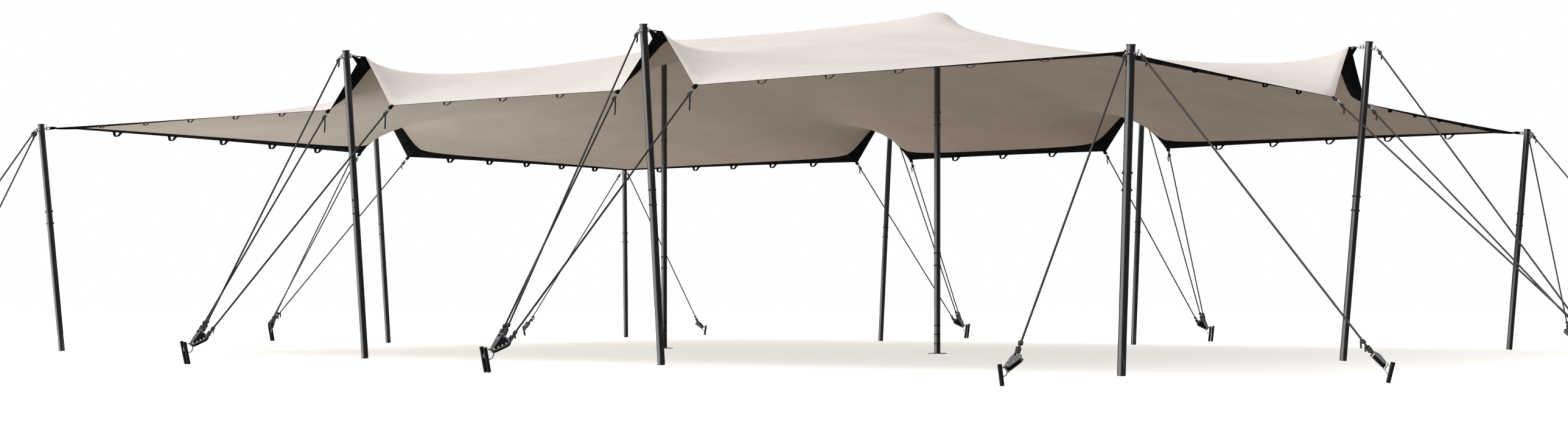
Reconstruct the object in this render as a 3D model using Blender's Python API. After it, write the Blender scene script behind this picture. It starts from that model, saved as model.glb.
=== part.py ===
"""Stretch tent on twelve poles: a cream membrane pulled over two king poles, guyed out to ground stakes.

The frame has its origin on the ground under the middle of the tent. +X runs along the long side, +Y
along the short side and +Z up. All sizes are metres.
"""

import math

import bmesh
import bpy
import numpy as np
from mathutils import Matrix, Vector

# The membrane as it was cut: webbing loops every 0.75 m, 20 spaces by 14
LOOP_SPACING = 0.75
FLAT_LENGTH = 20 * LOOP_SPACING
FLAT_WIDTH = 14 * LOOP_SPACING
FABRIC_THICK = 0.002
BAND_WIDTH = 0.18
BAND_THICK = 0.005
SEAT_GAP = 0.0003

# How hard the hem is pulled for each metre of stretched fabric, which keeps its edge nearly straight
HEM_PULL = 45.0
# The extra pull along the ridges: between the king poles, out to the end peaks and out to the long sides
MIDDLE_RIDGE_PULL = 32.0
END_RIDGE_PULL = 3.0
SIDE_RIDGE_PULL = 2.2
RIDGE_HALF_WIDTH = 0.6
RIDGE_LINES_AT = 0.375
NET_SPACING = 0.15
NET_STEPS = 500

# Poles: feet on the ground, leaning outwards, and the heights of their caps
CORNER_FOOT = (7.36, 5.61)
CORNER_LEAN = 0.18
CORNER_HEIGHT = 2.87
LONG_SIDE_FOOT = (2.12, 5.56)
SHORT_SIDE_FOOT = 7.40
SIDE_LEAN = 0.29
SIDE_HEIGHT = 3.42
KING_FOOT = 2.17
KING_PEAK_HEIGHT = 4.135
POLE_RADIUS = 0.038
CAP_RADIUS = 0.043
CAP_THICK = 0.012
POLE_SEGMENTS = 16

# How far single poles were set from their nominal places when the tent was pitched
POLE_SHIFTS = {
    "side_pole_front_left": (0.20, -0.10),
    "side_pole_front_right": (0.11, -0.02),
    "side_pole_back_left": (-0.08, -0.05),
    "side_pole_back_right": (0.00, -0.10),
    "side_pole_end_right": (-0.04, -0.26),
    "side_pole_end_left": (-0.06, 0.16),
    "corner_pole_front_left": (-0.02, -0.01),
    "corner_pole_back_right": (0.03, 0.02),
    "king_pole_left": (0.10, -0.07),
    "king_pole_right": (0.10, -0.24),
}

# Where the membrane is held: the corner tips, the peaks at the side poles and the two ties beside each
CORNER_TIP_IN = 0.15
CORNER_TIP_HEIGHT = 2.83
LONG_SIDE_PEAK_IN = 0.26
SHORT_SIDE_PEAK_IN = 0.21
PEAK_HEIGHT = 3.375
TIE_SPREAD = 0.50
TIE_IN = 0.21
TIE_HEIGHT = 2.80
TIE_SEATS = {-1: "left", 1: "right"}
KING_PAD_RADIUS = 0.17
KING_PAD_DROP = 0.045
PEAK_COLUMN = 3 * LOOP_SPACING
TIE_TAB_WIDTH = 0.05
PEAK_TAB_WIDTH = 0.07
CORNER_TAB_WIDTH = 0.06
TAB_END_WIDTH = 0.04
TAB_THICK = 0.005
TIE_TAB_LENGTH = 0.05

# Pole heads
FABRIC_LUG_BELOW_TOP = 0.06
ROPE_LUG_BELOW_TOP = 0.08
LUG_REACH = 0.050
LUG_RADIUS = 0.012
RING_RADIUS = 0.020
RING_WIRE = 0.006
KING_HEAD_RADIUS = 0.06
KING_HEAD_DROP = 0.03
KING_HEAD_DEPTH = 0.055
KING_PLATE_RADIUS = 0.115
KING_PLATE_THICK = 0.008

# Guy ropes, their rigging blocks and the ground stakes
ROPE_RADIUS = 0.008
ROPE_SIDES = 8
SIDE_ANCHOR_OUT = 2.29
CORNER_ANCHOR_OUT = 2.26
SIDE_BLOCK_LENGTH = 0.175
CORNER_BLOCK_LENGTH = 0.155
BLOCK_THICK = 0.045
BLOCK_NARROW = 0.05
SIDE_BLOCK_WIDE = 0.150
CORNER_BLOCK_WIDE = 0.095
# The way each block points from its stakes and the way it lies across, as (across, inwards, up)
SIDE_BLOCK_AIM = (0.45, 0.57, 0.68)
SIDE_BLOCK_LIE = (0.78, 0.0, -0.62)
CORNER_BLOCK_AIM = (0.32, 0.72, 0.62)
CORNER_BLOCK_LIE = (1.0, 0.0, 0.0)
ROPE_SEATS = {"left": (-0.058, 0.138), "pole": (-0.028, 0.155), "right": (0.050, 0.142)}
CORNER_ROPE_SEAT = (-0.026, 0.140)
KNOT_LENGTH = 0.11
KNOT_RADIUS = 0.018
STAKE_RADIUS = 0.018
STAKE_LEAN = math.radians(14)
STAKE_SEGMENTS = 12
STAKE_PAIR_SPACING = 0.044
PAIR_STAKE_HEIGHT = 0.24
PAIR_RING_HEIGHT = 0.135
CORNER_STAKE_HEIGHT = 0.17
CORNER_RING_HEIGHT = 0.09
PAIR_RING_RADIUS = 0.045
CORNER_RING_RADIUS = 0.034
STAKE_RING_WIRE = 0.008

UP = Vector((0, 0, 1))


def clear_scene():
    for old in list(bpy.data.objects):
        bpy.data.objects.remove(old, do_unlink=True)


def principled(name, colour, roughness, metallic=0.0):
    finish = bpy.data.materials.new(name)
    finish.use_nodes = True
    shader = finish.node_tree.nodes["Principled BSDF"]
    shader.inputs["Base Color"].default_value = (*colour, 1.0)
    shader.inputs["Roughness"].default_value = roughness
    shader.inputs["Metallic"].default_value = metallic
    return finish


def make_object(name, bm, finish):
    mesh = bpy.data.meshes.new(name)
    bm.to_mesh(mesh)
    bm.free()
    piece = bpy.data.objects.new(name, mesh)
    piece.data.materials.append(finish)
    bpy.context.collection.objects.link(piece)
    return piece


def frame_along(direction, side_hint=None):
    """A rotation whose Z axis is the direction and whose X axis is as near the hint as it can be."""
    z_axis = Vector(direction).normalized()
    hint = Vector(side_hint) if side_hint is not None else Vector((1, 0, 0))
    if abs(hint.normalized().dot(z_axis)) > 0.99:
        hint = Vector((0, 1, 0))
    x_axis = (hint - z_axis * hint.dot(z_axis)).normalized()
    y_axis = z_axis.cross(x_axis)
    return Matrix((x_axis, y_axis, z_axis)).transposed().to_4x4()


def turned(profile, steps):
    """A closed solid turned about Z from a profile of (radius, height) that runs bottom to top."""
    bm = bmesh.new()
    ring = [bm.verts.new((radius, 0.0, height)) for radius, height in profile]
    edges = [bm.edges.new(pair) for pair in zip(ring, ring[1:])]
    bmesh.ops.spin(
        bm, geom=ring + edges, cent=(0, 0, 0), axis=(0, 0, 1),
        angle=math.tau, steps=steps, use_merge=True,
    )
    bmesh.ops.remove_doubles(bm, verts=bm.verts, dist=1e-6)
    bmesh.ops.recalc_face_normals(bm, faces=bm.faces)
    return bm


def wire_ring(radius, wire, steps=8, sides=5):
    """A torus about Z, with a corner at its outermost point on +X and on -X."""
    bm = bmesh.new()
    section = []
    for k in range(sides):
        turn = math.tau * k / sides
        section.append(bm.verts.new((radius + wire * math.cos(turn), 0.0, wire * math.sin(turn))))
    edges = [bm.edges.new((section[k], section[(k + 1) % sides])) for k in range(sides)]
    bmesh.ops.spin(
        bm, geom=section + edges, cent=(0, 0, 0), axis=(0, 0, 1),
        angle=math.tau, steps=steps, use_merge=True,
    )
    bmesh.ops.remove_doubles(bm, verts=bm.verts, dist=1e-6)
    bmesh.ops.recalc_face_normals(bm, faces=bm.faces)
    return bm


def rod(start, end, radius, sides):
    """A plain round bar between two points."""
    start, end = Vector(start), Vector(end)
    length = (end - start).length
    bm = bmesh.new()
    bmesh.ops.create_cone(
        bm, cap_ends=True, segments=sides, radius1=radius, radius2=radius, depth=length,
    )
    place = Matrix.Translation((start + end) / 2) @ frame_along(end - start)
    bmesh.ops.transform(bm, matrix=place, verts=bm.verts)
    return bm


def fuse(target, tool_shapes):
    """Boolean union of each shape into the target object."""
    for number, shape in enumerate(tool_shapes):
        tool = make_object(f"{target.name}_tool_{number}", shape, target.data.materials[0])
        tool.hide_render = True
        tool.display_type = "WIRE"
        union = target.modifiers.new(f"union_{number}", "BOOLEAN")
        union.operation = "UNION"
        union.solver = "EXACT"
        union.object = tool
    return target


def shade_round(piece, degrees=40):
    piece.data.shade_smooth()
    piece.data.set_sharp_from_angle(angle=math.radians(degrees))


class Pole:
    """Where one pole stands, how it leans, and the nominal place that its guys are set out from."""

    def __init__(self, name, foot, lean, height, outward):
        self.name = name
        self.outward = Vector(outward).normalized()
        self.across = UP.cross(self.outward)
        self.nominal_foot = Vector((*foot, 0.0))
        self.nominal_top = self.nominal_foot + Vector((*lean, height))
        shift = Vector((*POLE_SHIFTS.get(name, (0.0, 0.0)), 0.0))
        self.foot = self.nominal_foot + shift
        self.top = self.nominal_top + shift
        self.axis = (self.top - self.foot).normalized()
        self.fabric_eye = self.top - self.axis * FABRIC_LUG_BELOW_TOP
        self.rope_eye = self.top - self.axis * ROPE_LUG_BELOW_TOP


def all_poles():
    corners, sides, kings = {}, {}, {}
    for end, sign_x in (("left", -1), ("right", 1)):
        for face, sign_y in (("front", -1), ("back", 1)):
            corners[sign_x, sign_y] = Pole(
                f"corner_pole_{face}_{end}",
                (sign_x * CORNER_FOOT[0], sign_y * CORNER_FOOT[1]),
                (sign_x * CORNER_LEAN, sign_y * CORNER_LEAN),
                CORNER_HEIGHT,
                (sign_x, sign_y, 0),
            )
            sides[sign_x, sign_y] = Pole(
                f"side_pole_{face}_{end}",
                (sign_x * LONG_SIDE_FOOT[0], sign_y * LONG_SIDE_FOOT[1]),
                (0.0, sign_y * SIDE_LEAN),
                SIDE_HEIGHT,
                (0, sign_y, 0),
            )
        sides[sign_x, 0] = Pole(
            f"side_pole_end_{end}",
            (sign_x * SHORT_SIDE_FOOT, 0.0),
            (sign_x * SIDE_LEAN, 0.0),
            SIDE_HEIGHT,
            (sign_x, 0, 0),
        )
        kings[sign_x] = Pole(
            f"king_pole_{end}", (sign_x * KING_FOOT, 0.0), (0.0, 0.0), KING_PEAK_HEIGHT, UP,
        )
    return corners, sides, kings


def at_height(point, height):
    return Vector((point.x, point.y, height))


def tie_point(pole, side):
    """Where the hem is tied down beside a side pole: -1 is to the left, seen from outside, and 1 right."""
    return at_height(pole.top - pole.outward * TIE_IN + pole.across * (side * TIE_SPREAD), TIE_HEIGHT)


def peak_point(pole):
    inward = SHORT_SIDE_PEAK_IN if pole.outward.x else LONG_SIDE_PEAK_IN
    return at_height(pole.top - pole.outward * inward, PEAK_HEIGHT)


def corner_tip(pole):
    return at_height(pole.top - pole.outward * (CORNER_TIP_IN * math.sqrt(2)), CORNER_TIP_HEIGHT)


def grid_lines(half_length, special):
    """Grid line places across the flat membrane: every loop, the band's inner edge and the tab edges."""
    count = round(2 * half_length / LOOP_SPACING)
    lines = {round(k * LOOP_SPACING - half_length, 4) for k in range(count + 1)}
    lines |= {round(half_length - BAND_WIDTH, 4), round(BAND_WIDTH - half_length, 4)}
    for place, width in special:
        lines |= {round(place - width / 2, 4), round(place, 4), round(place + width / 2, 4)}
    return np.array(sorted(lines))


def membrane_lines():
    columns = [-PEAK_COLUMN, PEAK_COLUMN]
    lines = []
    for middles, half_length in ((columns, FLAT_LENGTH / 2), ([0.0], FLAT_WIDTH / 2)):
        special = []
        for middle in middles:
            special += [(middle, PEAK_TAB_WIDTH), (middle, 2 * KING_PAD_RADIUS), (middle, 2 * RIDGE_LINES_AT)]
            special += [(middle + side * LOOP_SPACING, TIE_TAB_WIDTH) for side in (-1, 1)]
        lines.append(grid_lines(half_length, special))
    return lines


def membrane_holds(corners, sides, kings):
    """What holds the membrane: the flat place, half the held width, the place in the air and the drop."""
    half_x, half_y = FLAT_LENGTH / 2, FLAT_WIDTH / 2
    holds = []
    for (sign_x, sign_y), pole in corners.items():
        holds.append((Vector((sign_x * half_x, sign_y * half_y, 0)), 0.001, corner_tip(pole), 0.0))
    for (sign_x, sign_y), pole in sides.items():
        flat_x = sign_x * (PEAK_COLUMN if sign_y else half_x)
        flat = Vector((flat_x, sign_y * half_y, 0))
        holds.append((flat, PEAK_TAB_WIDTH / 2, peak_point(pole), 0.0))
        for side in (-1, 1):
            beside = flat + pole.across * (side * LOOP_SPACING)
            holds.append((beside, TIE_TAB_WIDTH / 2, tie_point(pole, side), 0.0))
    for sign_x, pole in kings.items():
        flat = Vector((sign_x * PEAK_COLUMN, 0, 0))
        holds.append((flat, KING_PAD_RADIUS, pole.top, KING_PAD_DROP))
    return holds


def held_place(flat, holds):
    """Where a point of the flat membrane is held, or None where it hangs free."""
    for middle, reach, place, drop in holds:
        offset = flat - middle
        square = max(abs(offset.x), abs(offset.y))
        if square <= reach + 1e-5:
            if drop and square:
                offset *= square / offset.length
            return place + offset - UP * (drop * (square / reach) ** 2)
    return None


def finer(lines):
    """The same lines with others between them, NET_SPACING apart at most."""
    pieces = []
    for start, end in zip(lines, lines[1:]):
        count = math.ceil((end - start) / NET_SPACING - 1e-9)
        pieces.append(np.linspace(start, end, count + 1)[:-1])
    return np.append(np.concatenate(pieces), lines[-1])


def ridge_share(lines, middle):
    """How much of a ridge's pull each line takes, which fades out to both sides of the ridge."""
    return np.exp(-((lines - middle) / RIDGE_HALF_WIDTH) ** 2) * np.gradient(lines) / RIDGE_HALF_WIDTH


def net_stiffness(lines_x, lines_y):
    """Spring stiffness of a net that stands for stretched cloth with a stronger hem and ridges."""
    step_x, step_y = np.diff(lines_x), np.diff(lines_y)
    share_x, share_y = np.zeros(len(lines_x)), np.zeros(len(lines_y))
    for share, step in ((share_x, step_x), (share_y, step_y)):
        share[:-1] += step / 2
        share[1:] += step / 2
        share[[0, -1]] += HEM_PULL
    between_kings = np.abs(lines_x[:-1] + step_x / 2) < PEAK_COLUMN
    lengthways = np.where(between_kings, MIDDLE_RIDGE_PULL, END_RIDGE_PULL)
    sideways = ridge_share(lines_x, -PEAK_COLUMN) + ridge_share(lines_x, PEAK_COLUMN)
    pull_x = share_y[None, :] + lengthways[:, None] * ridge_share(lines_y, 0.0)[None, :]
    pull_y = share_x[:, None] + SIDE_RIDGE_PULL * sideways[:, None]
    return pull_x / step_x[:, None], pull_y / step_y[None, :]


def net_pull(points, along_x, along_y):
    """The pull of the springs on each knot of the net."""
    pull = np.zeros_like(points)
    pull_x = along_x[..., None] * np.diff(points, axis=0)
    pull_y = along_y[..., None] * np.diff(points, axis=1)
    pull[:-1] += pull_x
    pull[1:] -= pull_x
    pull[:, :-1] += pull_y
    pull[:, 1:] -= pull_y
    return pull


def stretched_net(mesh_x, mesh_y, holds):
    """The balanced shape of a fine net at the mesh lines, by conjugate gradients scaled with stiffness."""
    lines_x, lines_y = finer(mesh_x), finer(mesh_y)
    along_x, along_y = net_stiffness(lines_x, lines_y)
    points = np.zeros((len(lines_x), len(lines_y), 3))
    free = np.ones(points.shape[:2] + (1,))
    for column, flat_x in enumerate(lines_x):
        for row, flat_y in enumerate(lines_y):
            flat = Vector((flat_x, flat_y, 0))
            place = held_place(flat, holds)
            points[column, row] = place or flat + UP * TIE_HEIGHT
            free[column, row] = 0.0 if place else 1.0
    total = np.zeros(points.shape[:2])
    total[:-1] += along_x
    total[1:] += along_x
    total[:, :-1] += along_y
    total[:, 1:] += along_y
    scale = free / total[..., None]
    residual = free * net_pull(points, along_x, along_y)
    search = scale * residual
    energy = (residual * search).sum(axis=(0, 1))
    for _ in range(NET_STEPS):
        response = -free * net_pull(search, along_x, along_y)
        stride = energy / np.maximum((search * response).sum(axis=(0, 1)), 1e-30)
        points += stride * search
        residual -= stride * response
        scaled = scale * residual
        fresh = (residual * scaled).sum(axis=(0, 1))
        search = scaled + fresh / np.maximum(energy, 1e-30) * search
        energy = fresh
    return points[np.ix_(np.isin(lines_x, mesh_x), np.isin(lines_y, mesh_y))]


def membrane_grid(points):
    """The membrane's middle surface in triangles, each corner keeping its surface normal."""
    columns, rows = points.shape[:2]
    bm = bmesh.new()
    bmesh.ops.create_grid(bm, x_segments=columns - 1, y_segments=rows - 1, size=0.5)
    inner = bm.faces.layers.int.new("inner")
    normal = bm.verts.layers.float_vector.new("surface_normal")
    for face in bm.faces:
        face[inner] = not any(corner.is_boundary for corner in face.verts)
    for corner in bm.verts:
        column = round((corner.co.x + 0.5) * (columns - 1))
        row = round((corner.co.y + 0.5) * (rows - 1))
        corner.co = Vector(points[column, row])
    bmesh.ops.triangulate(bm, faces=list(bm.faces), quad_method="SHORT_EDGE")
    bm.normal_update()
    for corner in bm.verts:
        corner[normal] = corner.normal
    return bm, normal, inner


def thicken(bm, normal, top, thickness):
    """Moves a sheet to its top face and extrudes it down by its thickness, along the kept normals."""
    for corner in bm.verts:
        corner.co += corner[normal] * top
    grown = bmesh.ops.extrude_face_region(bm, geom=list(bm.faces))["geom"]
    for part in grown:
        if isinstance(part, bmesh.types.BMVert):
            part.co -= part[normal] * thickness
    bmesh.ops.recalc_face_normals(bm, faces=bm.faces)


def trim_corners(bm, tips):
    """Cuts each sharp corner off square to its diagonal, as wide as the corner tab."""
    uprights = []
    for tip in tips:
        short_edges = [edge for edge in bm.edges if edge.calc_length() < 2 * BAND_THICK]
        middles = {edge: (edge.verts[0].co + edge.verts[1].co) / 2 for edge in short_edges}
        uprights.append(min(short_edges, key=lambda edge: (middles[edge] - tip).length))
    bmesh.ops.bevel(
        bm, geom=uprights, offset=CORNER_TAB_WIDTH / math.sqrt(2), segments=1,
        profile=0.5, affect="EDGES", material=-1,
    )


def grow_tab(bm, place, width, end, across, through):
    """Draws the edge faces around a place out to a square end that reaches its two half axes each way."""
    edge_faces = [
        face for face in bm.faces
        if all(abs((corner.co - place).dot(across)) < (0.5 * width + 0.003) * across.length
               and (corner.co - place).length < width for corner in face.verts)
    ]
    grown = bmesh.ops.extrude_face_region(bm, geom=edge_faces)["geom"]
    for part in grown:
        if isinstance(part, bmesh.types.BMVert):
            away = part.co - place
            side = round(2 * away.dot(across) / (width * across.length))
            level = math.copysign(1, away.dot(through))
            part.co = end + across * side + through * level
    bmesh.ops.delete(bm, geom=edge_faces, context="FACES")


def fabric_pull(pole, held):
    """The direction from a pole head to the membrane point it holds, and where that lug's tab ends."""
    pull = (held - pole.fabric_eye).normalized()
    return pull, pole.fabric_eye + pull * (LUG_REACH + SEAT_GAP)


def under(point):
    """The middle of the band's edge below a held point of the membrane."""
    return point - UP * (FABRIC_THICK / 2 + SEAT_GAP + BAND_THICK / 2)


def tie_layout(pole, side, target):
    """The square end of a tie's webbing tab, the way the rope pulls it and the rope's eye ring."""
    start = under(tie_point(pole, side))
    pull = (target - start).normalized()
    end = start + pull * TIE_TAB_LENGTH
    return pull, end, end + pull * (SEAT_GAP + RING_RADIUS + RING_WIRE)


def square_to(across, pull):
    """The part of a direction that stands square to a pull, one metre long."""
    return (across - pull * across.dot(pull)).normalized()


def add_fabric_tabs(bm, corners, sides):
    """Webbing tabs from the hem to each pole head, and down to the rope at each tie."""
    for pole in corners.values():
        tip = under(corner_tip(pole))
        pull, end = fabric_pull(pole, tip)
        chamfer = tip - pole.outward * (CORNER_TAB_WIDTH / 2)
        across = pull.cross(UP).normalized()
        through = pull.cross(across) * (TAB_THICK / 2)
        grow_tab(bm, chamfer, CORNER_TAB_WIDTH, end, across * (TAB_END_WIDTH / 2), through)
    for pole in sides.values():
        layout = BlockLayout(pole)
        peak = under(peak_point(pole))
        pull, end = fabric_pull(pole, peak)
        across = square_to(pole.across, pull)
        through = pull.cross(across) * (TAB_THICK / 2)
        grow_tab(bm, peak, PEAK_TAB_WIDTH, end, across * (TAB_END_WIDTH / 2), through)
        for side in (-1, 1):
            pull, end, _ = tie_layout(pole, side, layout.rope_seat(ROPE_SEATS[TIE_SEATS[side]]))
            across = square_to(pole.across, pull)
            through = pull.cross(across) * (TAB_THICK / 2)
            place = under(tie_point(pole, side))
            grow_tab(bm, place, TIE_TAB_WIDTH, end, across * (TAB_END_WIDTH / 2), through)


def build_membrane(corners, sides, kings, fabric, webbing):
    net = stretched_net(*membrane_lines(), membrane_holds(corners, sides, kings))
    tips = [corner_tip(pole) for pole in corners.values()]

    bm, normal, _ = membrane_grid(net)
    thicken(bm, normal, FABRIC_THICK / 2, FABRIC_THICK)
    trim_corners(bm, tips)
    canopy = make_object("canopy", bm, fabric)
    canopy.data.shade_smooth()

    bm, normal, inner = membrane_grid(net)
    bmesh.ops.delete(bm, geom=[face for face in bm.faces if face[inner]], context="FACES")
    thicken(bm, normal, -FABRIC_THICK / 2 - SEAT_GAP, BAND_THICK)
    trim_corners(bm, tips)
    add_fabric_tabs(bm, corners, sides)
    bmesh.ops.recalc_face_normals(bm, faces=bm.faces)
    make_object("hem_band", bm, webbing)


class BlockLayout:
    """Where a guy's stakes, ring and rigging block sit, in line from the ground towards its ropes."""

    def __init__(self, pole, direction=None):
        corner = direction is not None
        self.outward = direction if corner else pole.outward
        self.across = UP.cross(self.outward)
        self.wide = CORNER_BLOCK_WIDE if corner else SIDE_BLOCK_WIDE
        self.length = CORNER_BLOCK_LENGTH if corner else SIDE_BLOCK_LENGTH
        self.stake_height = CORNER_STAKE_HEIGHT if corner else PAIR_STAKE_HEIGHT
        distance = CORNER_ANCHOR_OUT if corner else SIDE_ANCHOR_OUT
        slip = self.across * (pole.top - pole.nominal_top).dot(self.across)
        self.ground = at_height(pole.nominal_top + self.outward * distance + slip, 0.0)
        self.stake_axis = UP * math.cos(STAKE_LEAN) + self.outward * math.sin(STAKE_LEAN)
        ring_height = CORNER_RING_HEIGHT if corner else PAIR_RING_HEIGHT
        hook = self.ground + self.stake_axis * (ring_height / math.cos(STAKE_LEAN))
        self.length_axis = self.way(CORNER_BLOCK_AIM if corner else SIDE_BLOCK_AIM)
        lie = self.way(CORNER_BLOCK_LIE if corner else SIDE_BLOCK_LIE)
        self.width_axis = square_to(lie, self.length_axis)
        self.ring_radius = CORNER_RING_RADIUS if corner else PAIR_RING_RADIUS
        self.ring_centre = hook + self.length_axis * self.ring_radius
        reach = self.ring_radius + STAKE_RING_WIRE + SEAT_GAP
        self.start = self.ring_centre + self.length_axis * reach

    def way(self, parts):
        """A direction from its parts across, inwards and up."""
        return (self.across * parts[0] - self.outward * parts[1] + UP * parts[2]).normalized()

    def rope_seat(self, place):
        """A rope's fastening in the block, from its place across and along the block."""
        return self.start + self.width_axis * place[0] + self.length_axis * place[1]


def block_shape(layout):
    """The rigging block: a wedge-shaped stack of plates, narrow at the stake and wide at the ropes."""
    wide, narrow = layout.wide / 2, BLOCK_NARROW / 2
    half_outline = [
        (narrow, 0.0), (0.97 * wide, 0.70 * layout.length), (wide, 0.85 * layout.length),
        (0.8 * wide, layout.length),
    ]
    outline = half_outline + [(-x, z) for x, z in reversed(half_outline)]
    bm = bmesh.new()
    face = bm.faces.new([bm.verts.new((x, -BLOCK_THICK / 2, z)) for x, z in outline])
    grown = bmesh.ops.extrude_face_region(bm, geom=[face])["geom"]
    moved = [part for part in grown if isinstance(part, bmesh.types.BMVert)]
    bmesh.ops.translate(bm, verts=moved, vec=(0, BLOCK_THICK, 0))
    bmesh.ops.recalc_face_normals(bm, faces=bm.faces)
    place = Matrix.Translation(layout.start) @ frame_along(layout.length_axis, layout.width_axis)
    bmesh.ops.transform(bm, matrix=place, verts=bm.verts)
    return bm


def upright_ring(centre, direction, radius, wire):
    """A ring whose plane holds the direction and the vertical, with a corner facing each way along it."""
    ring = wire_ring(radius, wire)
    stand = frame_along(Vector(direction).cross(UP), direction)
    bmesh.ops.transform(ring, matrix=Matrix.Translation(centre) @ stand, verts=ring.verts)
    return ring


def rope_shapes(ring_centre, ring_direction, seat):
    """A taut rope from its eye ring down to its seat in the rigging block, with its knot above that."""
    down_rope = (seat - ring_centre).normalized()
    return [
        upright_ring(ring_centre, ring_direction, RING_RADIUS, RING_WIRE),
        rod(ring_centre + down_rope * RING_RADIUS, seat, ROPE_RADIUS, ROPE_SIDES),
        rod(seat - down_rope * KNOT_LENGTH, seat, KNOT_RADIUS, ROPE_SIDES),
    ]


def head_rope_shapes(pole, direction, seat):
    """The rope from a pole head, whose eye ring stands just off the lug's flat end."""
    ring_centre = pole.rope_eye + direction * (LUG_REACH + SEAT_GAP + RING_RADIUS + RING_WIRE)
    return rope_shapes(ring_centre, direction, seat)


def build_side_guys(pole, rope):
    layout = BlockLayout(pole)
    shapes = head_rope_shapes(pole, pole.outward, layout.rope_seat(ROPE_SEATS["pole"]))
    for side, seat_name in TIE_SEATS.items():
        seat = layout.rope_seat(ROPE_SEATS[seat_name])
        pull, _, ring_centre = tie_layout(pole, side, seat)
        shapes += rope_shapes(ring_centre, pull, seat)
    name = pole.name.replace("side_pole", "side_guys")
    fuse(make_object(name, block_shape(layout), rope), shapes)


def build_corner_guy(pole, direction, ending, rope):
    layout = BlockLayout(pole, direction)
    shapes = head_rope_shapes(pole, direction, layout.rope_seat(CORNER_ROPE_SEAT))
    name = pole.name.replace("corner_pole", "corner_guy") + ending
    fuse(make_object(name, block_shape(layout), rope), shapes)


def stake_shape(layout, offset):
    """One round stake leaning away from the tent, with its lowest rim on the ground."""
    lift = STAKE_RADIUS * math.sin(STAKE_LEAN)
    foot = layout.ground + layout.across * offset + UP * lift
    head = foot + layout.stake_axis * layout.stake_height
    return rod(foot, head, STAKE_RADIUS, STAKE_SEGMENTS)


def build_stakes(name, layout, count, steel):
    ring = upright_ring(layout.ring_centre, layout.length_axis, layout.ring_radius, STAKE_RING_WIRE)
    if count == 1:
        fuse(make_object(name, stake_shape(layout, 0.0), steel), [ring])
        return
    half = STAKE_PAIR_SPACING / 2
    first, second = stake_shape(layout, -half), stake_shape(layout, half)
    fuse(make_object(name, ring, steel), [first, second])


def build_pole(pole, fabric_way, rope_ways, finish):
    """A pole that leans out: tube and cap turned in one, its lowest rim on the ground, and its lugs."""
    lean = math.acos(pole.axis.z)
    length = (pole.top - pole.foot).length - POLE_RADIUS * math.tan(lean)
    bm = turned([
        (0.0, 0.0), (POLE_RADIUS, 0.0), (POLE_RADIUS, length - CAP_THICK),
        (CAP_RADIUS, length - CAP_THICK), (CAP_RADIUS, length), (0.0, length),
    ], POLE_SEGMENTS)
    place = Matrix.Translation(pole.top - pole.axis * length) @ frame_along(pole.axis)
    bmesh.ops.transform(bm, matrix=place, verts=bm.verts)
    piece = make_object(pole.name, bm, finish)
    lugs = [(pole.fabric_eye, fabric_way)] + [(pole.rope_eye, way) for way in rope_ways]
    fuse(piece, [rod(eye, eye + way * LUG_REACH, LUG_RADIUS, 8) for eye, way in lugs])
    shade_round(piece)


def build_king_pole(pole, finish, plate_finish):
    """An upright pole from its base plate to the domed head just under the membrane."""
    head = KING_PEAK_HEIGHT - FABRIC_THICK / 2 - SEAT_GAP
    foot = KING_PLATE_THICK + SEAT_GAP
    bm = turned([
        (0.0, foot), (POLE_RADIUS, foot), (POLE_RADIUS, head - KING_HEAD_DEPTH),
        (KING_HEAD_RADIUS, head - KING_HEAD_DEPTH), (KING_HEAD_RADIUS, head - KING_HEAD_DROP),
        (0.0, head),
    ], POLE_SEGMENTS)
    bmesh.ops.translate(bm, verts=bm.verts, vec=pole.foot)
    shade_round(make_object(pole.name, bm, finish))
    plate = turned([
        (0.0, 0.0), (KING_PLATE_RADIUS, 0.0), (KING_PLATE_RADIUS, KING_PLATE_THICK),
        (0.0, KING_PLATE_THICK),
    ], 2 * POLE_SEGMENTS)
    bmesh.ops.translate(plate, verts=plate.verts, vec=pole.foot)
    shade_round(make_object(pole.name.replace("pole", "base_plate"), plate, plate_finish))


def build_tent():
    clear_scene()
    fabric = principled("cream coated stretch fabric", (0.82, 0.76, 0.70), 0.75)
    webbing = principled("black polyester webbing", (0.012, 0.012, 0.014), 0.85)
    paint = principled("black powder coated tube", (0.02, 0.021, 0.025), 0.42)
    rope = principled("flecked braided rope", (0.11, 0.11, 0.11), 0.8)
    steel = principled("black stake steel", (0.02, 0.02, 0.02), 0.5, 0.6)
    plate = principled("grey base plate steel", (0.2, 0.2, 0.2), 0.5, 0.7)

    corners, sides, kings = all_poles()
    build_membrane(corners, sides, kings, fabric, webbing)
    for pole in kings.values():
        build_king_pole(pole, paint, plate)
    for pole in sides.values():
        pull, _ = fabric_pull(pole, under(peak_point(pole)))
        build_pole(pole, pull, [pole.outward], paint)
        build_side_guys(pole, rope)
        build_stakes(pole.name.replace("side_pole", "stake_pair"), BlockLayout(pole), 2, steel)
    for (sign_x, sign_y), pole in corners.items():
        ways = {"_along": Vector((sign_x, 0, 0)), "_across": Vector((0, sign_y, 0))}
        pull, _ = fabric_pull(pole, under(corner_tip(pole)))
        build_pole(pole, pull, ways.values(), paint)
        for ending, way in ways.items():
            build_corner_guy(pole, way, ending, rope)
            name = pole.name.replace("corner_pole", "corner_stake") + ending
            build_stakes(name, BlockLayout(pole, way), 1, steel)


build_tent()
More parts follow.
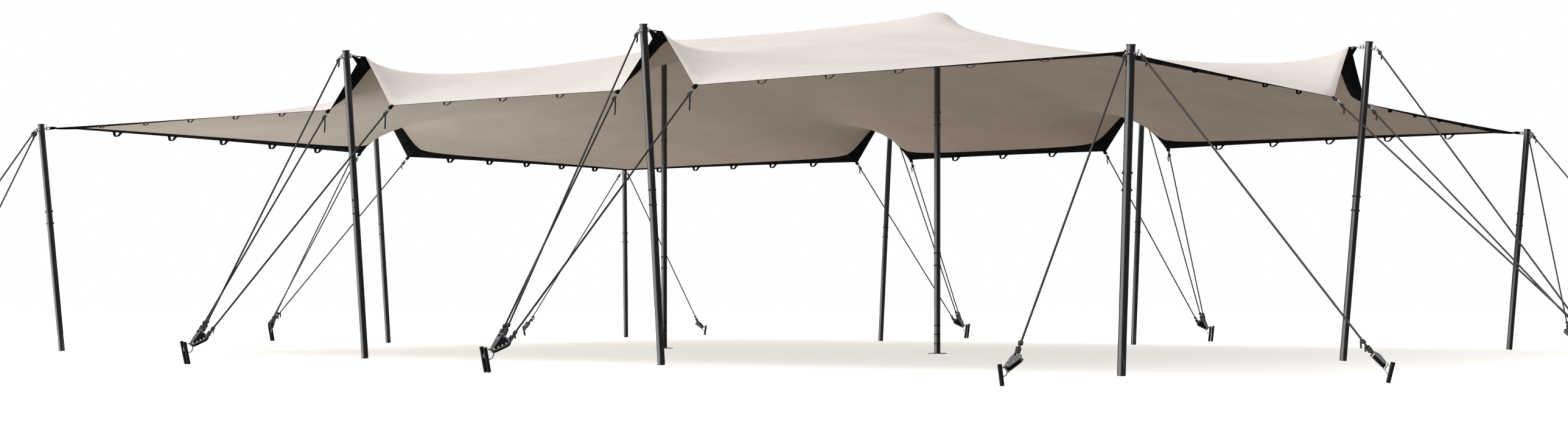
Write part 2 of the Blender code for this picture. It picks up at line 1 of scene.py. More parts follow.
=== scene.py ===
# %% [markdown]
# # A stretch tent, pitched and guyed out
#
# A stretch tent is one large rectangle of coated, elastic fabric. Poles push it up, ropes pull it
# out, and the balance of the two gives the sheet its saddle shapes. Nothing in it is stiff but the
# tubes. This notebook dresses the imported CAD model: it loads the model as a fixed frame, works out
# the shape of the fabric again on a finer net, and then makes every strap, knot, shackle and stake.

# %% Load the frame
import math

import bmesh
import bpy
import numpy as np
from bmesh.types import BMEdge, BMFace, BMVert
from mathutils import Matrix, Vector


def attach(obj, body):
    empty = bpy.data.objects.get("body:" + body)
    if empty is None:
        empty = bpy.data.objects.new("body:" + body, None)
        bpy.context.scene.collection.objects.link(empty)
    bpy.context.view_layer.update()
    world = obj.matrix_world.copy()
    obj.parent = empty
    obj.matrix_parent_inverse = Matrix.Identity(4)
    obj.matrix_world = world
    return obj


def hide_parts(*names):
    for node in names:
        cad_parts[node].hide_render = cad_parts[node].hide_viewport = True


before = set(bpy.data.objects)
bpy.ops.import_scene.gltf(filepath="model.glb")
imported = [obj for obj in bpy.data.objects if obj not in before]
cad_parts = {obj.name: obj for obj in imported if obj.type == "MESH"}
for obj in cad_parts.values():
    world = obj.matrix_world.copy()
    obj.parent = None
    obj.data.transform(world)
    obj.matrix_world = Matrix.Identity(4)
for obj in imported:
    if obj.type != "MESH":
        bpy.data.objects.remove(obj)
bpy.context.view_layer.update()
UP = Vector((0, 0, 1))
print(len(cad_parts), "CAD nodes")

# %% [markdown]
# ## The camera
#
# The picture was taken from below eye height, far outside one corner, with the camera held level.
# Upright tubes stay upright in it, so the camera isn't tipped. Its frame is moved up on the sensor
# instead, as a view camera does it, which is what shift_y is for.

# %% Make the camera
camera_data = bpy.data.cameras.new("photo_camera")
camera_data.lens = 49.52
camera_data.sensor_width = 36.0
camera_data.shift_y = 0.0529
camera_data.clip_end = 200.0
camera = bpy.data.objects.new("photo_camera", camera_data)
camera.location = (15.753, -22.719, 0.70)
camera.rotation_euler = (math.radians(90), 0.0, math.radians(35.02))
bpy.context.collection.objects.link(camera)
bpy.context.scene.camera = camera

# %% [markdown]
# ## Colours and nodes
#
# Hex codes are the usual way to write down a colour as it is seen, and they are in sRGB. Blender's
# shaders work with linear light, so one function turns one into the other. A second function adds
# a shader node with its settings and links, and every material below is written with it. A node
# that is given as an input stands for its first output, which is mostly the one that is wanted.

# %% Helpers for materials
def linear(code):
    """A hex colour as the linear red, green, blue and alpha that a shader wants."""
    channels = [int(code[k:k + 2], 16) / 255 for k in (1, 3, 5)]
    return (*[c / 12.92 if c < 0.04045 else ((c + 0.055) / 1.055) ** 2.4 for c in channels], 1.0)


def plug(material, node, inputs):
    """Sets each named input of a node to a value, or links it to an output."""
    for name, value in inputs.items():
        if isinstance(value, bpy.types.Node):
            value = value.outputs[0]
        if isinstance(value, bpy.types.NodeSocket):
            material.node_tree.links.new(value, node.inputs[name])
        else:
            node.inputs[name].default_value = value


def add_node(material, kind, inputs=None, stops=(), **settings):
    """Adds one node, sets its options and its colour stops, and sets or links its inputs."""
    node = material.node_tree.nodes.new("ShaderNode" + kind)
    for name, value in settings.items():
        setattr(node, name, value)
    for k, (position, colour) in enumerate(stops):
        node.color_ramp.elements[k].position = position
        node.color_ramp.elements[k].color = colour
    plug(material, node, inputs or {})
    return node


def start_material(name, inputs):
    """A new material and its Principled shader, with plain values on the shader's own sockets."""
    material = bpy.data.materials.new(name)
    material.use_nodes = True
    shader = material.node_tree.nodes["Principled BSDF"]
    plug(material, shader, inputs)
    return material, shader


# %% [markdown]
# ## The fabric of the roof
#
# The roof is a knitted polyester that stretches both ways, with a soft polyurethane coating. From
# above it is cream. Its other side is a matt taupe, so that it throws no glare below, and its colour
# is made darker still as painted shade for the shadow under the roof. The knit is under a millimetre
# and can't show at this size, so it is drawn at 4 mm. What the eye does catch is a slow cloudiness
# where the coating is thicker, and specks of dust.

# %% Fabric materials
def coated_fabric(name, tone, shade, dust, rough, gloss):
    """Matt coated knit: a cloudy tone at about 0.9 m, specks of dust and a knit drawn at 4 mm."""
    material, shader = start_material(name, {
        "Roughness": rough, "Specular IOR Level": gloss,
        "Sheen Weight": 0.25 * gloss, "Sheen Roughness": 0.6})
    place = add_node(material, "UVMap", uv_map="flat")
    cloud = add_node(material, "TexNoise", {"Vector": place, "Scale": 1.1, "Detail": 5.0, "Roughness": 0.6})
    speck = add_node(material, "TexNoise", {"Vector": place, "Scale": 9.0, "Detail": 3.0})
    tint = add_node(material, "ValToRGB", {"Fac": cloud}, [(0.36, linear(shade)), (0.62, linear(tone))])
    dusty = add_node(
        material, "ValToRGB", {"Fac": speck}, [(0.56, (0, 0, 0, 1)), (0.80, (0.35, 0.35, 0.35, 1))])
    colour = add_node(material, "MixRGB", {"Fac": dusty, "Color1": tint, "Color2": linear(dust)})
    knit = add_node(material, "TexVoronoi", {"Vector": place, "Scale": 250.0, "Randomness": 0.35})
    ripple = add_node(material, "TexNoise", {"Vector": place, "Scale": 2.6, "Detail": 2.0})
    fine = add_node(material, "Bump", {"Height": knit, "Strength": 0.25, "Distance": 0.001})
    bump = add_node(material, "Bump", {"Height": ripple, "Strength": 0.25, "Distance": 0.02, "Normal": fine})
    plug(material, shader, {"Base Color": colour, "Normal": bump})
    return material


roof_outside = coated_fabric(
    "coated knit, cream outside", "#D8D1CE", "#D1C9C5", "#BEB4AC", rough=0.78, gloss=0.4)
# The inside's taupe is partly its own colour and partly painted shade, made darker for the shadow under the
# roof.
roof_inside_painted_shade = coated_fabric(
    "coated knit, taupe inside", "#7B6E62", "#75685C", "#6A5F54", rough=0.90, gloss=0.1)
print(roof_outside.name, "and", roof_inside_painted_shade.name)

# %% [markdown]
# ## Where everything stands
#
# Twelve tubes carry the roof: two upright king poles inside, six side poles and four corner poles
# that lean out. The names and sizes here are those of the CAD source, in metres, so each strap and
# knot that is made below meets the solid that it belongs to.

# %% Sizes shared with the CAD source
LOOP_SPACING = 0.75
FLAT_LENGTH, FLAT_WIDTH = 20 * LOOP_SPACING, 14 * LOOP_SPACING
FABRIC_THICK, BAND_WIDTH, BAND_THICK, SEAT_GAP = 0.002, 0.18, 0.005, 0.0003
PEAK_COLUMN = 3 * LOOP_SPACING
PEAK_TAB_WIDTH, TIE_TAB_WIDTH = 0.07, 0.05
KING_PAD_RADIUS, KING_PAD_DROP, KING_PEAK_HEIGHT = 0.17, 0.045, 4.135
POLE_RADIUS, CAP_RADIUS, CAP_THICK = 0.038, 0.043, 0.012
CORNER_FOOT, CORNER_LEAN, CORNER_POLE_HEIGHT = (7.36, 5.61), 0.18, 2.87
SIDE_FOOT, SIDE_LEAN, SIDE_POLE_HEIGHT = (2.12, 5.56), 0.29, 3.42
END_X, KING_X = 7.40, 2.17
TIE_SPREAD, TIE_IN, TIE_HEIGHT = 0.50, 0.21, 2.80
PEAK_HEIGHT, PEAK_IN_END, PEAK_IN_SIDE = 3.375, 0.21, 0.26
CORNER_HEIGHT, CORNER_IN = 2.83, 0.15
FABRIC_EYE_DROP, ROPE_EYE_DROP = 0.06, 0.08
SHIFTS = {
    "side_pole_front_left": (0.20, -0.10), "side_pole_front_right": (0.11, -0.02),
    "side_pole_back_left": (-0.08, -0.05), "side_pole_back_right": (0.00, -0.10),
    "side_pole_end_right": (-0.04, -0.26), "side_pole_end_left": (-0.06, 0.16),
    "corner_pole_front_left": (-0.02, -0.01), "corner_pole_back_right": (0.03, 0.02),
    "king_pole_left": (0.10, -0.07), "king_pole_right": (0.10, -0.24),
}


def at_height(point, height):
    return Vector((point.x, point.y, height))


class Pole:
    """One tube: where it stands, how it leans, and the two eyes at its head."""

    def __init__(self, name, foot, lean, height, outward):
        self.name = name
        self.outward = Vector(outward).normalized()
        self.across = UP.cross(self.outward)
        self.nominal_top = Vector((foot[0] + lean[0], foot[1] + lean[1], height))
        shift = Vector((*SHIFTS.get(name, (0.0, 0.0)), 0.0))
        self.foot = Vector((*foot, 0.0)) + shift
        self.top = self.nominal_top + shift
        self.axis = (self.top - self.foot).normalized()
        self.fabric_eye = self.top - self.axis * FABRIC_EYE_DROP
        self.rope_eye = self.top - self.axis * ROPE_EYE_DROP


corners, sides, kings = {}, {}, {}
for end, sx in (("left", -1), ("right", 1)):
    for face, sy in (("front", -1), ("back", 1)):
        corners[sx, sy] = Pole(
            f"corner_pole_{face}_{end}", (sx * CORNER_FOOT[0], sy * CORNER_FOOT[1]),
            (sx * CORNER_LEAN, sy * CORNER_LEAN), CORNER_POLE_HEIGHT, (sx, sy, 0))
        sides[sx, sy] = Pole(
            f"side_pole_{face}_{end}", (sx * SIDE_FOOT[0], sy * SIDE_FOOT[1]),
            (0.0, sy * SIDE_LEAN), SIDE_POLE_HEIGHT, (0, sy, 0))
    sides[sx, 0] = Pole(
        f"side_pole_end_{end}", (sx * END_X, 0.0), (sx * SIDE_LEAN, 0.0), SIDE_POLE_HEIGHT, (sx, 0, 0))
    kings[sx] = Pole(f"king_pole_{end}", (sx * KING_X, 0.0), (0.0, 0.0), KING_PEAK_HEIGHT, UP)


def tie_point(pole, side):
    """Where the hem is tied down beside a side pole: -1 is to the left, seen from outside, and 1 right."""
    return at_height(pole.top - pole.outward * TIE_IN + pole.across * (side * TIE_SPREAD), TIE_HEIGHT)


def peak_point(pole):
    inward = PEAK_IN_END if pole.outward.x else PEAK_IN_SIDE
    return at_height(pole.top - pole.outward * inward, PEAK_HEIGHT)


def corner_tip(pole):
    return at_height(pole.top - pole.outward * (CORNER_IN * math.sqrt(2)), CORNER_HEIGHT)


print(len(corners) + len(sides) + len(kings), "poles")

# %% [markdown]
# ## The shape of the stretched roof
#
# A stretched membrane settles where the pulls at each of its points cancel out. A net of springs
# finds that shape: each knot is pulled towards its four neighbours, and the knots at the poles and
# ties are held. The hem has a band sewn on and pulls harder, and so do the ridges between the
# poles. Cloth simulation could find this too, but a linear net gives one exact answer in seconds,
# the same one each time, and the CAD membrane is worked out from the same net.

# %% Lay out the net's lines
LARGEST_MESH = 0.15


def grid_lines(half_length, special):
    count = round(2 * half_length / LOOP_SPACING)
    lines = {round(k * LOOP_SPACING - half_length, 4) for k in range(count + 1)}
    lines |= {round(half_length - BAND_WIDTH, 4), round(BAND_WIDTH - half_length, 4)}
    for place, width in special:
        lines |= {round(place - width / 2, 4), round(place, 4), round(place + width / 2, 4)}
    coarse = sorted(lines)
    pieces = []
    for start, end in zip(coarse, coarse[1:]):
        pieces.append(np.linspace(start, end, math.ceil((end - start) / LARGEST_MESH - 1e-9) + 1)[:-1])
    return np.append(np.concatenate(pieces), coarse[-1])


def special_lines(middles):
    special = []
    for middle in middles:
        special += [(middle, PEAK_TAB_WIDTH), (middle, LOOP_SPACING)]
        special += [(middle, 2 * share * KING_PAD_RADIUS) for share in (0.3, 0.6, 1.0, 1.4)]
        special += [(middle + side * LOOP_SPACING, TIE_TAB_WIDTH) for side in (-1, 1)]
    return special


lines_x = grid_lines(FLAT_LENGTH / 2, special_lines([-PEAK_COLUMN, PEAK_COLUMN]))
lines_y = grid_lines(FLAT_WIDTH / 2, special_lines([0.0]))
print("lines:", len(lines_x), "by", len(lines_y))

# %% Where the net is held: its middle on the flat sheet, reach, place and drop
holds = []
for (sx, sy), pole in corners.items():
    holds.append((Vector((sx * FLAT_LENGTH / 2, sy * FLAT_WIDTH / 2, 0)), 0.001, corner_tip(pole), 0.0))
for (sx, sy), pole in sides.items():
    flat = Vector((sx * (PEAK_COLUMN if sy else FLAT_LENGTH / 2), sy * FLAT_WIDTH / 2, 0))
    holds.append((flat, PEAK_TAB_WIDTH / 2, peak_point(pole), 0.0))
    for side in (-1, 1):
        beside = flat + pole.across * (side * LOOP_SPACING)
        holds.append((beside, TIE_TAB_WIDTH / 2, tie_point(pole, side), 0.0))
for sx, pole in kings.items():
    holds.append((Vector((sx * PEAK_COLUMN, 0, 0)), KING_PAD_RADIUS, pole.top, KING_PAD_DROP))


def held_place(flat):
    for middle, reach, place, drop in holds:
        offset = flat - middle
        square = max(abs(offset.x), abs(offset.y))
        if square <= reach + 1e-5:
            if drop and square:
                offset *= square / offset.length
            return place + offset - UP * (drop * (square / reach) ** 2)
    return None


# %% Balance the net
RIDGE_WIDTH, HEM_PULL = 0.6, 45.0
PULL_BETWEEN_KINGS, PULL_BEYOND_KINGS, PULL_SIDEWAYS = 32.0, 3.0, 2.2
BALANCE_ROUNDS = 500


def ridge_share(lines, middle):
    return np.exp(-((lines - middle) / RIDGE_WIDTH) ** 2) * np.gradient(lines) / RIDGE_WIDTH


def net_pull(points, along_x, along_y):
    pull = np.zeros_like(points)
    pull_x = along_x[..., None] * np.diff(points, axis=0)
    pull_y = along_y[..., None] * np.diff(points, axis=1)
    pull[:-1] += pull_x
    pull[1:] -= pull_x
    pull[:, :-1] += pull_y
    pull[:, 1:] -= pull_y
    return pull


def net_springs():
    """The spring between each two knots: evenly stretched cloth, a stronger hem and the ridges."""
    step_x, step_y = np.diff(lines_x), np.diff(lines_y)
    share_x, share_y = np.zeros(len(lines_x)), np.zeros(len(lines_y))
    for share, step in ((share_x, step_x), (share_y, step_y)):
        share[:-1] += step / 2
        share[1:] += step / 2
        share[[0, -1]] += HEM_PULL
    between_kings = np.abs(lines_x[:-1] + step_x / 2) < PEAK_COLUMN
    lengthways = np.where(between_kings, PULL_BETWEEN_KINGS, PULL_BEYOND_KINGS)
    sideways = ridge_share(lines_x, -PEAK_COLUMN) + ridge_share(lines_x, PEAK_COLUMN)
    pull_x = share_y[None, :] + lengthways[:, None] * ridge_share(lines_y, 0.0)[None, :]
    pull_y = share_x[:, None] + PULL_SIDEWAYS * sideways[:, None]
    return pull_x / step_x[:, None], pull_y / step_y[None, :]


def balanced_net():
    """Moves every free knot to where its pulls cancel, by the method of conjugate gradients."""
    along_x, along_y = net_springs()
    points = np.zeros((len(lines_x), len(lines_y), 3))
    free = np.ones(points.shape[:2] + (1,))
    for column, flat_x in enumerate(lines_x):
        for row, flat_y in enumerate(lines_y):
            flat = Vector((flat_x, flat_y, 0))
            place = held_place(flat)
            points[column, row] = place or flat + UP * TIE_HEIGHT
            free[column, row] = 0.0 if place else 1.0
    total = np.zeros(points.shape[:2])
    total[:-1] += along_x
    total[1:] += along_x
    total[:, :-1] += along_y
    total[:, 1:] += along_y
    scale = free / total[..., None]
    residual = free * net_pull(points, along_x, along_y)
    search = scale * residual
    energy = (residual * search).sum(axis=(0, 1))
    for _ in range(BALANCE_ROUNDS):
        response = -free * net_pull(search, along_x, along_y)
        stride = energy / np.maximum((search * response).sum(axis=(0, 1)), 1e-30)
        points += stride * search
        residual -= stride * response
        scaled = scale * residual
        fresh = (residual * scaled).sum(axis=(0, 1))
        search = scaled + fresh / np.maximum(energy, 1e-30) * search
        energy = fresh
    return points


# %% Round the cloth over the king heads
BLUR_STEP, BLUR_REACH, BLUR_ROUNDS = 0.06, 0.28, 4


def softened(points):
    """An average over 60 mm at each king head, which keeps its highest point and fades out at 0.3 m."""
    for sx in kings:
        away = np.hypot(lines_x[:, None] - sx * PEAK_COLUMN, lines_y[None, :])
        share = np.exp(-(away / BLUR_REACH) ** 2)[..., None]
        apex = np.unravel_index(away.argmin(), away.shape)
        kept = points[apex].copy()
        for _ in range(BLUR_ROUNDS):
            blurred = points.copy()
            for lines, axis in ((lines_x, 0), (lines_y, 1)):
                for shift in (-BLUR_STEP, BLUR_STEP):
                    blurred = blurred + np.apply_along_axis(
                        lambda values: np.interp(lines + shift, lines, values), axis, points)
            points = points + share * (blurred / 5 - points)
        points = points + share * (kept - points[apex])
    return points


net = softened(balanced_net())
print("net of", net.shape[0], "by", net.shape[1], "knots, highest", round(net[..., 2].max(), 3))

# %% [markdown]
# ## Turning shapes into pieces
#
# Each piece below is built in a bmesh, which is Blender's mesh with editing operators on it. One
# function then makes the object, gives it its materials, hangs it on the root body and hides the CAD
# solid that it stands for. The others give the directions, plates, turned pieces and round bars that
# most of the hardware is made of.

# %% Make a finished piece
def make_piece(name, bm, materials, replaces=(), sharp=40):
    """A finished piece that rides with the tent; edges sharper than this many degrees stay crisp."""
    mesh = bpy.data.meshes.new(name)
    bm.to_mesh(mesh)
    bm.free()
    for material in materials:
        mesh.materials.append(material)
    mesh.shade_smooth()
    if sharp:
        mesh.set_sharp_from_angle(angle=math.radians(sharp))
    piece = bpy.data.objects.new(name, mesh)
    bpy.context.collection.objects.link(piece)
    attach(piece, "root")
    if replaces:
        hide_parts(*replaces)
    return piece


# %% Directions and arcs
def square_to(direction, way):
    """The part of a direction that is square to a way, at a length of one."""
    return (direction - way * direction.dot(way)).normalized()


def frame_along(direction, hint=(1, 0, 0)):
    """A rotation whose Z axis is the direction and whose X axis is as near the hint as it can be."""
    z_axis = Vector(direction).normalized()
    hint = Vector(hint).normalized()
    if abs(hint.dot(z_axis)) > 0.99:
        hint = Vector((0, 1, 0))
    x_axis = square_to(hint, z_axis)
    return Matrix((x_axis, z_axis.cross(x_axis), z_axis)).transposed().to_4x4()


def arc(centre, first, second, steps, turn=math.tau):
    """Points round an ellipse from centre + first, by way of centre + second. A full turn isn't closed."""
    angles = [turn * k / steps for k in range(steps + (turn < math.tau))]
    return [centre + first * math.cos(angle) + second * math.sin(angle) for angle in angles]


# %% Parts of a bmesh
def only(parts, kind):
    """Of the parts that an operator gives back, those of one kind."""
    return [part for part in parts if isinstance(part, kind)]


def joined_to(start):
    """All the corners that are joined to one by edges."""
    found, waiting = {start}, [start]
    while waiting:
        for edge in waiting.pop().link_edges:
            for corner in edge.verts:
                if corner not in found:
                    found.add(corner)
                    waiting.append(corner)
    return list(found)


def face_outwards(bm, corners, finish):
    """Turns the faces at some corners outwards and gives them the number of their material."""
    faces = {face for corner in corners for face in corner.link_faces}
    bmesh.ops.recalc_face_normals(bm, faces=list(faces))
    for face in faces:
        face.material_index = finish


# %% Plates, turned pieces and bars
def plate(bm, outline, push):
    """A plate: an outline filled with one face, which is then drawn out. Gives its corners."""
    rim = [bm.verts.new(point) for point in outline]
    moved = only(bmesh.ops.extrude_face_region(bm, geom=[bm.faces.new(rim)])["geom"], BMVert)
    bmesh.ops.translate(bm, verts=moved, vec=push)
    return rim + moved


def turned(bm, profile, steps, place=Matrix.Identity(4), finish=0):
    """Turns a profile of (radius, height) about Z, as on a lathe, and puts it in place."""
    ring = [bm.verts.new((radius, 0.0, height)) for radius, height in profile]
    edges = [bm.edges.new(pair) for pair in zip(ring, ring[1:])]
    bmesh.ops.spin(
        bm, geom=ring + edges, cent=(0, 0, 0), axis=(0, 0, 1), angle=math.tau, steps=steps, use_merge=True)
    bmesh.ops.remove_doubles(bm, verts=joined_to(ring[1]), dist=1e-6)
    bmesh.ops.transform(bm, matrix=place, verts=joined_to(ring[1]))
    face_outwards(bm, joined_to(ring[1]), finish)


def round_bar(bm, place, way, low, high, radius, sides=12, finish=0, end_radius=None):
    """A round or six-sided bar that lies on a line through a place, from low to high along its way."""
    middle = Matrix.Translation(place + way * ((low + high) / 2)) @ frame_along(way)
    made = bmesh.ops.create_cone(
        bm, cap_ends=True, segments=sides, radius1=radius, radius2=end_radius or radius,
        depth=(high - low) * way.length, matrix=middle)
    for face in {face for corner in made["verts"] for face in corner.link_faces}:
        face.material_index = finish


# %% Bent bars and ropes
def bent_bar(bm, points, radius, sides=8, finish=0, closed=False, rope=False):
    """A round bar or rope along a path, drawn out ring by ring so that it doesn't twist.

    A rope's corners also keep their place on it: two numbers for round it, and one for along it.
    """
    layers = bm.verts.layers.float_vector
    layer = (layers.get("rope_place") or layers.new("rope_place")) if rope else None
    count = len(points)
    way = (points[1] - points[-1 if closed else 0]).normalized()
    place = Matrix.Translation(points[0]) @ frame_along(way, (0.31, 0.52, 0.79))
    ring = first_ring = bmesh.ops.create_circle(bm, segments=sides, radius=radius, matrix=place)["verts"]
    edges = first_edges = list({edge for corner in ring for edge in corner.link_edges})
    if rope:
        for corner, around in zip(ring, arc(Vector(), Vector((1, 0, 0)), Vector((0, 1, 0)), sides)):
            corner[layer] = around
    travelled = 0.0
    for k in range(1, count):
        ahead = points[(k + 1) % count] if closed or k + 1 < count else points[k]
        new_way = (ahead - points[k - 1]).normalized()
        grown = bmesh.ops.extrude_edge_only(bm, edges=edges)["geom"]
        ring, edges = only(grown, BMVert), only(grown, BMEdge)
        bend = way.rotation_difference(new_way).to_matrix().to_4x4()
        move = Matrix.Translation(points[k]) @ bend @ Matrix.Translation(-points[k - 1])
        bmesh.ops.transform(bm, matrix=move, verts=ring)
        way, travelled = new_way, travelled + (points[k] - points[k - 1]).length
        if rope:
            for corner in ring:
                corner[layer] = (*corner[layer][:2], travelled)
    if closed:
        bmesh.ops.bridge_loops(bm, edges=first_edges + edges)
    else:
        for end in (first_ring, ring):
            bmesh.ops.contextual_create(bm, geom=end)
    face_outwards(bm, joined_to(first_ring[0]), finish)


# %% [markdown]
# ## The roof
#
# The sheet is made as a flat grid, one face for each mesh of the net, and each corner is then moved
# to its knot. The flat size is kept as the UV map, in metres, so the knit and the clouds of the
# coating lie in the cloth and stretch with it. Extruding the grid down by 2 mm gives it a top and
# an underside, which get the two colours.

# %% Build the roof
def net_sheet(keep_all):
    """The net as a sheet, or only its hem: flat coordinates as UV, and the corner normals kept."""
    columns, rows = len(lines_x) - 1, len(lines_y) - 1
    bm = bmesh.new()
    bmesh.ops.create_grid(bm, x_segments=columns, y_segments=rows, size=0.5)
    flat = bm.loops.layers.uv.new("flat")
    normal = bm.verts.layers.float_vector.new("surface_normal")
    knots, inner = {}, []
    for corner in bm.verts:
        column, row = round((corner.co.x + 0.5) * columns), round((corner.co.y + 0.5) * rows)
        corner.co = (lines_x[column], lines_y[row], 0.0)
        knots[corner] = Vector(net[column, row])
    for face in bm.faces:
        middle = face.calc_center_median()
        if abs(middle.x) < FLAT_LENGTH / 2 - BAND_WIDTH and abs(middle.y) < FLAT_WIDTH / 2 - BAND_WIDTH:
            inner.append(face)
        for loop in face.loops:
            loop[flat].uv = loop.vert.co.xy
    for corner, knot in knots.items():
        corner.co = knot
    bm.normal_update()
    for corner in bm.verts:
        corner[normal] = corner.normal
    if not keep_all:
        bmesh.ops.delete(bm, geom=inner, context="FACES")
    return bm, normal


def thicken(bm, normal, top, thickness):
    """Moves a sheet to its top face and draws it down to its thickness along the kept normals."""
    for corner in bm.verts:
        corner.co += corner[normal] * top
    grown = bmesh.ops.extrude_face_region(bm, geom=bm.faces[:])["geom"]
    for corner in only(grown, BMVert):
        corner.co -= corner[normal] * thickness
    bmesh.ops.recalc_face_normals(bm, faces=bm.faces)
    return only(grown, BMFace)


bm, normal = net_sheet(True)
for face in thicken(bm, normal, FABRIC_THICK / 2, FABRIC_THICK):
    face.material_index = 1
roof = make_piece("roof_membrane", bm, [roof_outside, roof_inside_painted_shade], ["canopy"], sharp=0)
print("roof faces", len(roof.data.polygons))

# %% [markdown]
# ## Black webbing
#
# All the pull on the hem goes through webbing: a wide reinforcing band sewn under the whole edge,
# straps to the poles and small loops between them. It is woven polyester, black and quite matt.
# Its ribs are under 2 mm apart and can't show at this size. They are drawn as slanting waves 17 mm
# apart, along the flat coordinates. A second copy in brownish grey is painted light: black webbing
# drawn as it looks where light falls on it.

# %% Webbing materials and the hem band
def webbing_material(name, shade, tone):
    """Polyester webbing: ribs drawn at 17 mm, and a tone that wears in patches of about 70 mm."""
    material, shader = start_material(name, {"Roughness": 0.9, "Specular IOR Level": 0.08})
    place = add_node(material, "UVMap", uv_map="flat")
    ribs = add_node(material, "TexWave", {"Vector": place, "Scale": 26.0, "Distortion": 0.6},
                    bands_direction="DIAGONAL").outputs["Fac"]
    worn = add_node(material, "TexNoise", {"Vector": place, "Scale": 14.0, "Detail": 4.0})
    tint = add_node(material, "ValToRGB", {"Fac": worn}, [(0.40, linear(shade)), (0.75, linear(tone))])
    bump = add_node(material, "Bump", {"Height": ribs, "Strength": 0.4, "Distance": 0.001})
    plug(material, shader, {"Base Color": tint, "Normal": bump})
    return material


webbing = webbing_material("woven polyester webbing, black", "#040405", "#101011")
# A lighter, brownish copy of the black webbing: painted light, used on the front loops.
painted_light_webbing = webbing_material("woven polyester webbing, faded", "#3D3733", "#5A524C")
bm, normal = net_sheet(False)
thicken(bm, normal, -FABRIC_THICK / 2 - SEAT_GAP, BAND_THICK)
hem_band = make_piece("hem_reinforcing_band", bm, [webbing], ["hem_band"], sharp=0)
print("hem band faces", len(hem_band.data.polygons))

# %% [markdown]
# ### Loops along the hem
#
# A loop of narrower webbing hangs under the hem every 0.75 m, for ties or side walls. Each is one
# strap bent into a D that leans a little to one side. Those at the back and on the left are of a
# wider, heavier webbing. Those in front take the brownish grey copy of the webbing, which is
# painted light. A strap is drawn from a single edge, which is extruded from point to point and then
# given its thickness, so its two faces stay parallel however it turns.

# %% Straps
def strap(bm, points, across, widths, thick):
    """A flat strap along a path, lying along the direction across, as wide at each point as widths says."""
    vectors, maps = bm.verts.layers.float_vector, bm.loops.layers.uv
    place = vectors.get("strap_place") or vectors.new("strap_place")
    flat = maps.get("flat") or maps.new("flat")
    widths = widths if isinstance(widths, list) else [widths] * len(points)
    ends = [bm.verts.new(points[0] + across * (side * widths[0] / 2)) for side in (-1, 1)]
    ends[0][place], ends[1][place] = (0.0, 0.0, 0.0), (0.0, widths[0], 0.0)
    edge, travelled, faces = bm.edges.new(ends), 0.0, []
    for k in range(1, len(points)):
        step = points[k] - points[k - 1]
        grown = bmesh.ops.extrude_edge_only(bm, edges=[edge])["geom"]
        edge = only(grown, BMEdge)[0]
        faces += only(grown, BMFace)
        travelled += step.length
        for corner in edge.verts:
            side = 1 if corner[place][1] else -1
            spread = across * (side * (widths[k] - widths[k - 1]) / 2)
            bmesh.ops.translate(bm, verts=[corner], vec=step + spread)
            corner[place] = (travelled, corner[place][1], 0.0)
    faces = {*faces, *only(bmesh.ops.solidify(bm, geom=faces, thickness=thick)["geom"], BMFace)}
    for face in faces:
        for loop in face.loops:
            loop[flat].uv = loop.vert[place][:2]
    bmesh.ops.recalc_face_normals(bm, faces=list(faces))


# %% Loops under the hem
def hem_places():
    """Each loop's edge of the hem, its point there, the way the hem runs and the way into the tent."""
    long_edges = (net, lines_x, [-PEAK_COLUMN, PEAK_COLUMN], Vector((0, 1, 0)), ("front", "back"))
    ends = (net.transpose(1, 0, 2), lines_y, [0.0], Vector((1, 0, 0)), ("left", "right"))
    for knots, lines, peaks, inward, names in (long_edges, ends):
        busy = [peak + step * LOOP_SPACING for peak in peaks for step in (-1, 0, 1)]
        for place in np.arange(lines[0] + LOOP_SPACING, lines[-1] - 0.1, LOOP_SPACING):
            if min(abs(place - peak) for peak in busy) > 0.1:
                i = int(np.abs(lines - place).argmin())
                for name, row, sign in zip(names, (0, -1), (1, -1)):
                    along = Vector(knots[i + 1, row] - knots[i - 1, row]).normalized()
                    yield name, Vector(knots[i, row]), along, inward * sign


# A loop's size is half its length, its drop, and its strap's width and thickness.
LOOP_INSET, LOOP_LEAN, LOOP_FOOT = 0.016, 0.020, 0.021
THIN_LOOP, HEAVY_LOOP = (0.046, 0.036, 0.025, 0.0030), (0.042, 0.048, 0.042, 0.0105)
LOOP_SIZES = {"front": THIN_LOOP, "back": HEAVY_LOOP, "left": HEAVY_LOOP, "right": THIN_LOOP}
loop_shapes = {edge_name: bmesh.new() for edge_name in LOOP_SIZES}
loop_count = 0
for edge_name, place, along, inward in hem_places():
    half, drop, wide, thick = LOOP_SIZES[edge_name]
    top = place + inward * LOOP_INSET - UP * (BAND_THICK + 0.001)
    bow = arc(top, along * half, -along * LOOP_LEAN - UP * drop, 10, math.pi)
    foot = along * (half + LOOP_FOOT)
    strap(loop_shapes[edge_name], [top + foot, *bow, top - foot], inward, wide, thick)
    loop_count += 1
for edge_name, bm in loop_shapes.items():
    # The front loops take the copy with painted light.
    finish = painted_light_webbing if edge_name == "front" else webbing
    make_piece(f"webbing_loops_{edge_name}", bm, [finish], sharp=30)
print(loop_count, "loops")

# %% [markdown]
# ## Steel, paint and rope
#
# Shackles, eye nuts and bolts are hot-dip galvanised: bright zinc with a faint spangle, the grains
# of zinc a few millimetres across. The tubes are aluminium with a satin black powder coat, whose
# orange-peel skin has bumps about 1.5 mm apart, scuffed where they are carried and set down. The
# ropes are a black braid. A yarn winds round the rope once in 28 mm, so the light tracer yarns,
# which wind both ways, cross on the same side every 14 mm, and a fleck shows there.

